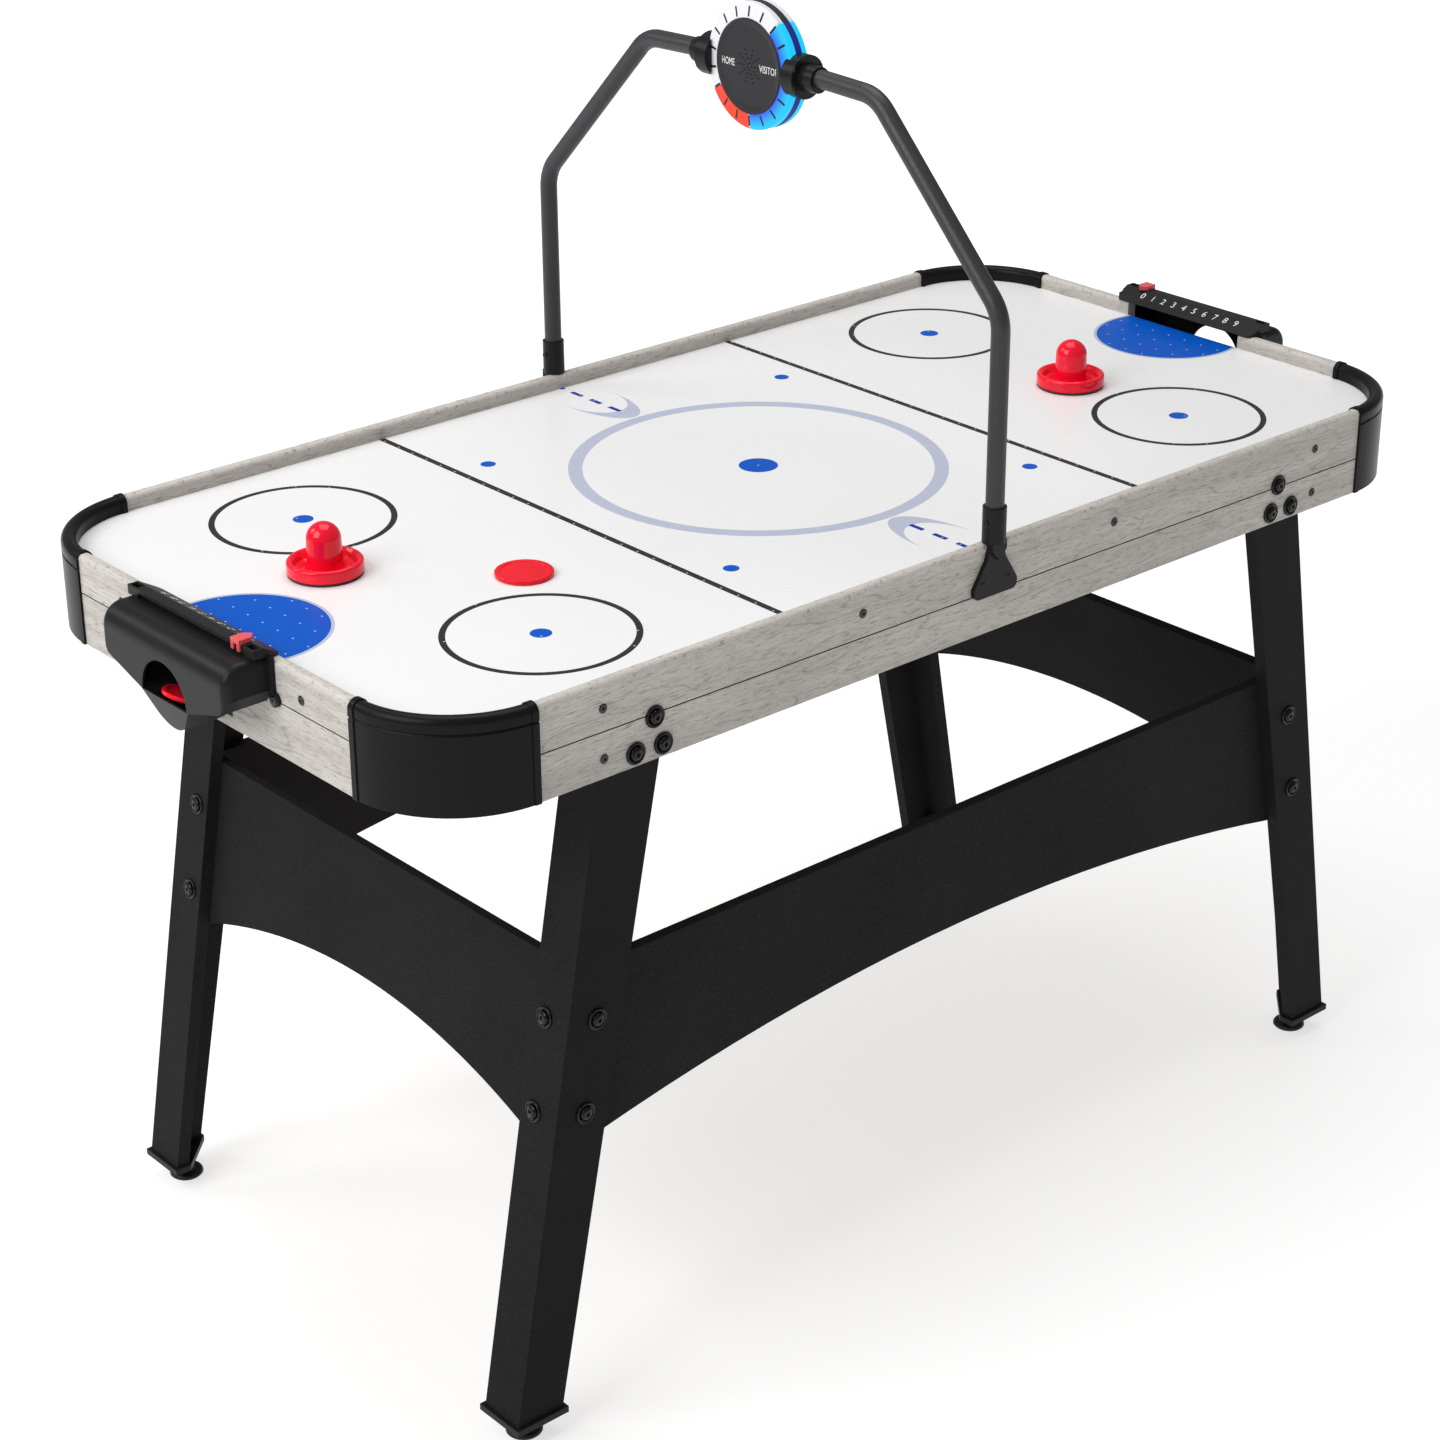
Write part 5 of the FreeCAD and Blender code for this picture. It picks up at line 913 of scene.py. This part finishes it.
DIGITS = 10
DIGIT_PITCH, DIGIT_SIZE, DIGIT_THICK = 0.016, 0.0125, 0.0003
DIGIT_LIFT = 0.00005
RIDGE_INSET, SLOPE_FOOT, SLOPE_SHARE = 0.011, 0.0008, 0.58
WORDS = (("HOME", -0.0310, 0.0185), ("VISITOR", 0.0292, 0.0275))
WORD_SIZE, WORD_THICK, WORD_SUNK = 0.0105, 0.0012, 0.0022
ENDS = (("left", -1), ("right", 1))


def facing(at, right, up):
    """A place whose X and Y run along the two directions."""
    axes = Matrix((right, up, right.cross(up))).transposed()
    return Matrix.Translation(at) @ axes.to_4x4()


def outer_inner(box, side):
    """The X of the box's far side and of its near side, as seen from the middle."""
    low, high = box
    return (high.x, low.x) if side > 0 else (low.x, high.x)


def make_digits():
    """The figures 0 to 9 on the inner slope of each score rail."""
    white = ink("figure_white", (0.72, 0.72, 0.70))
    for end, side in ENDS:
        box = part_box(f"score_rail_{end}")
        outer, inner = outer_inner(box, side)
        foot = Vector((inner, 0, box[0].z + SLOPE_FOOT))
        crest = Vector((outer - side * RIDGE_INSET, 0, box[1].z))
        upward = (crest - foot).normalized()
        right = Vector((0, -side, 0))
        face = right.cross(upward)
        middle = foot.lerp(crest, SLOPE_SHARE)
        bm = bmesh.new()
        for figure in range(DIGITS):
            along = (figure - (DIGITS - 1) / 2) * DIGIT_PITCH
            place = facing(middle + right * along + face * DIGIT_LIFT, right, upward)
            add_text(bm, str(figure), place, DIGIT_SIZE, DIGIT_THICK)
        name = f"figures_{end}"
        piece(name, mesh_from(name, bm, False), "table", white)


def make_words():
    """The scorer's two plain words, either side of the speaker, on both faces."""
    white = ink("word_white", (0.70, 0.70, 0.70))
    for end, side in ENDS:
        outer, _ = outer_inner(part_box(f"pod_shell_{end}"), side)
        across, up = Vector((0, side, 0)), Vector((0, 0, 1))
        bm = bmesh.new()
        for words, out, width in WORDS:
            seat = Vector((outer - side * WORD_SUNK, -out, POD_Z))
            add_text(bm, words, facing(seat, across, up), WORD_SIZE, WORD_THICK, width)
        name = f"words_{end}"
        piece(name, mesh_from(name, bm, False), "table", white)


make_prints()
make_bolts()
make_screws()
make_digits()
make_words()


# --------------------------------------------------------------------------- stage, light, camera

CAMERA_AT = Vector((-2.0853, -2.3261, 1.9518))
CAMERA_LOOKS = Vector((0.59490, 0.68189, -0.42558))
CAMERA_RIGHT = Vector((0.75181, -0.65936, -0.00555))
LENS_MM, SENSOR_MM, CLIP_END = 78.655, 36.0, 50.0
FLOOR_REACH = 14.0
FLOOR_DULL, FLOOR_PALE = (0.49, 0.49, 0.49), (0.51, 0.51, 0.51)
GLOW_NEAR, GLOW_FAR = 0.635, 1.0
GLOW_FROM, GLOW_TO = 1.5, 4.0
WHITE = (1.0, 1.0, 1.0, 1.0)
SKY_STRENGTH = 0.30
# Name, place, target, side length and power of each soft square light.
LIGHTS = (
    ("key", (-3.6, 0.1, 3.2), (0, 0, 0.6), 2.6, 108),
    ("top", (0.4, 0.6, 4.6), (0, 0, 0.7), 3.2, 92),
    ("glint", (-2.5, 2.9, 3.2), (-0.5, 0, 0.7), 1.5, 30),
)


def make_camera():
    """The photograph's own viewpoint."""
    data = bpy.data.cameras.new("camera")
    data.lens = LENS_MM
    data.sensor_width = SENSOR_MM
    data.clip_end = CLIP_END
    camera = bpy.data.objects.new("camera", data)
    SCENE.collection.objects.link(camera)
    back = -CAMERA_LOOKS.normalized()
    right = CAMERA_RIGHT.normalized()
    up = back.cross(right)
    turn = Matrix((right, up, back)).transposed()
    camera.matrix_world = Matrix.Translation(CAMERA_AT) @ turn.to_4x4()
    SCENE.camera = camera


def make_light(name, at, target, size, power):
    """A soft square light that faces its target."""
    data = bpy.data.lights.new(name, "AREA")
    data.shape = "RECTANGLE"
    data.size = data.size_y = size
    data.energy = power
    lamp = bpy.data.objects.new(name, data)
    SCENE.collection.objects.link(lamp)
    lamp.location = at
    lamp.rotation_euler = (Vector(target) - Vector(at)).to_track_quat("-Z", "Y").to_euler()


def make_floor():
    """Pale floor that glows more with distance, so that its far edge melts into the sky."""
    t = Tree("floor_white")
    place = t.place()
    cloud = t.noise(place, 0.8, 3.0, 0.5)
    t.set(Base_Color=t.mix(t.span(cloud, 0.3, 0.7), FLOOR_DULL, FLOOR_PALE))
    t.set(Roughness=t.span(cloud, 0.3, 0.7, 0.75, 0.85), Specular_IOR_Level=0.1)
    x, y, _ = t.parts(place)
    glow = t.span(t.length(x, y), GLOW_FROM, GLOW_TO, GLOW_NEAR, GLOW_FAR)
    t.set(Emission_Color=WHITE, Emission_Strength=glow)
    bm = bmesh.new()
    bmesh.ops.create_grid(bm, x_segments=1, y_segments=1, size=FLOOR_REACH)
    floor = bpy.data.objects.new("floor", mesh_from("floor", bm, False))
    floor.data.materials.append(t.material)
    SCENE.collection.objects.link(floor)


def make_world():
    """A dim even sky for the light, and a pale one behind the floor's edge."""
    world = bpy.data.worlds.new("studio")
    world.use_nodes = True
    nodes, links = world.node_tree.nodes, world.node_tree.links
    sky = nodes["Background"]
    sky.inputs["Color"].default_value = WHITE
    sky.inputs["Strength"].default_value = SKY_STRENGTH
    seen = nodes.new("ShaderNodeBackground")
    seen.inputs["Color"].default_value = WHITE
    path, choice = nodes.new("ShaderNodeLightPath"), nodes.new("ShaderNodeMixShader")
    links.new(path.outputs["Is Camera Ray"], choice.inputs[0])
    links.new(sky.outputs[0], choice.inputs[1])
    links.new(seen.outputs[0], choice.inputs[2])
    links.new(choice.outputs[0], nodes["World Output"].inputs["Surface"])
    SCENE.world = world
    SCENE.view_settings.view_transform = "Standard"


make_camera()
make_floor()
make_world()
for light in LIGHTS:
    make_light(*light)
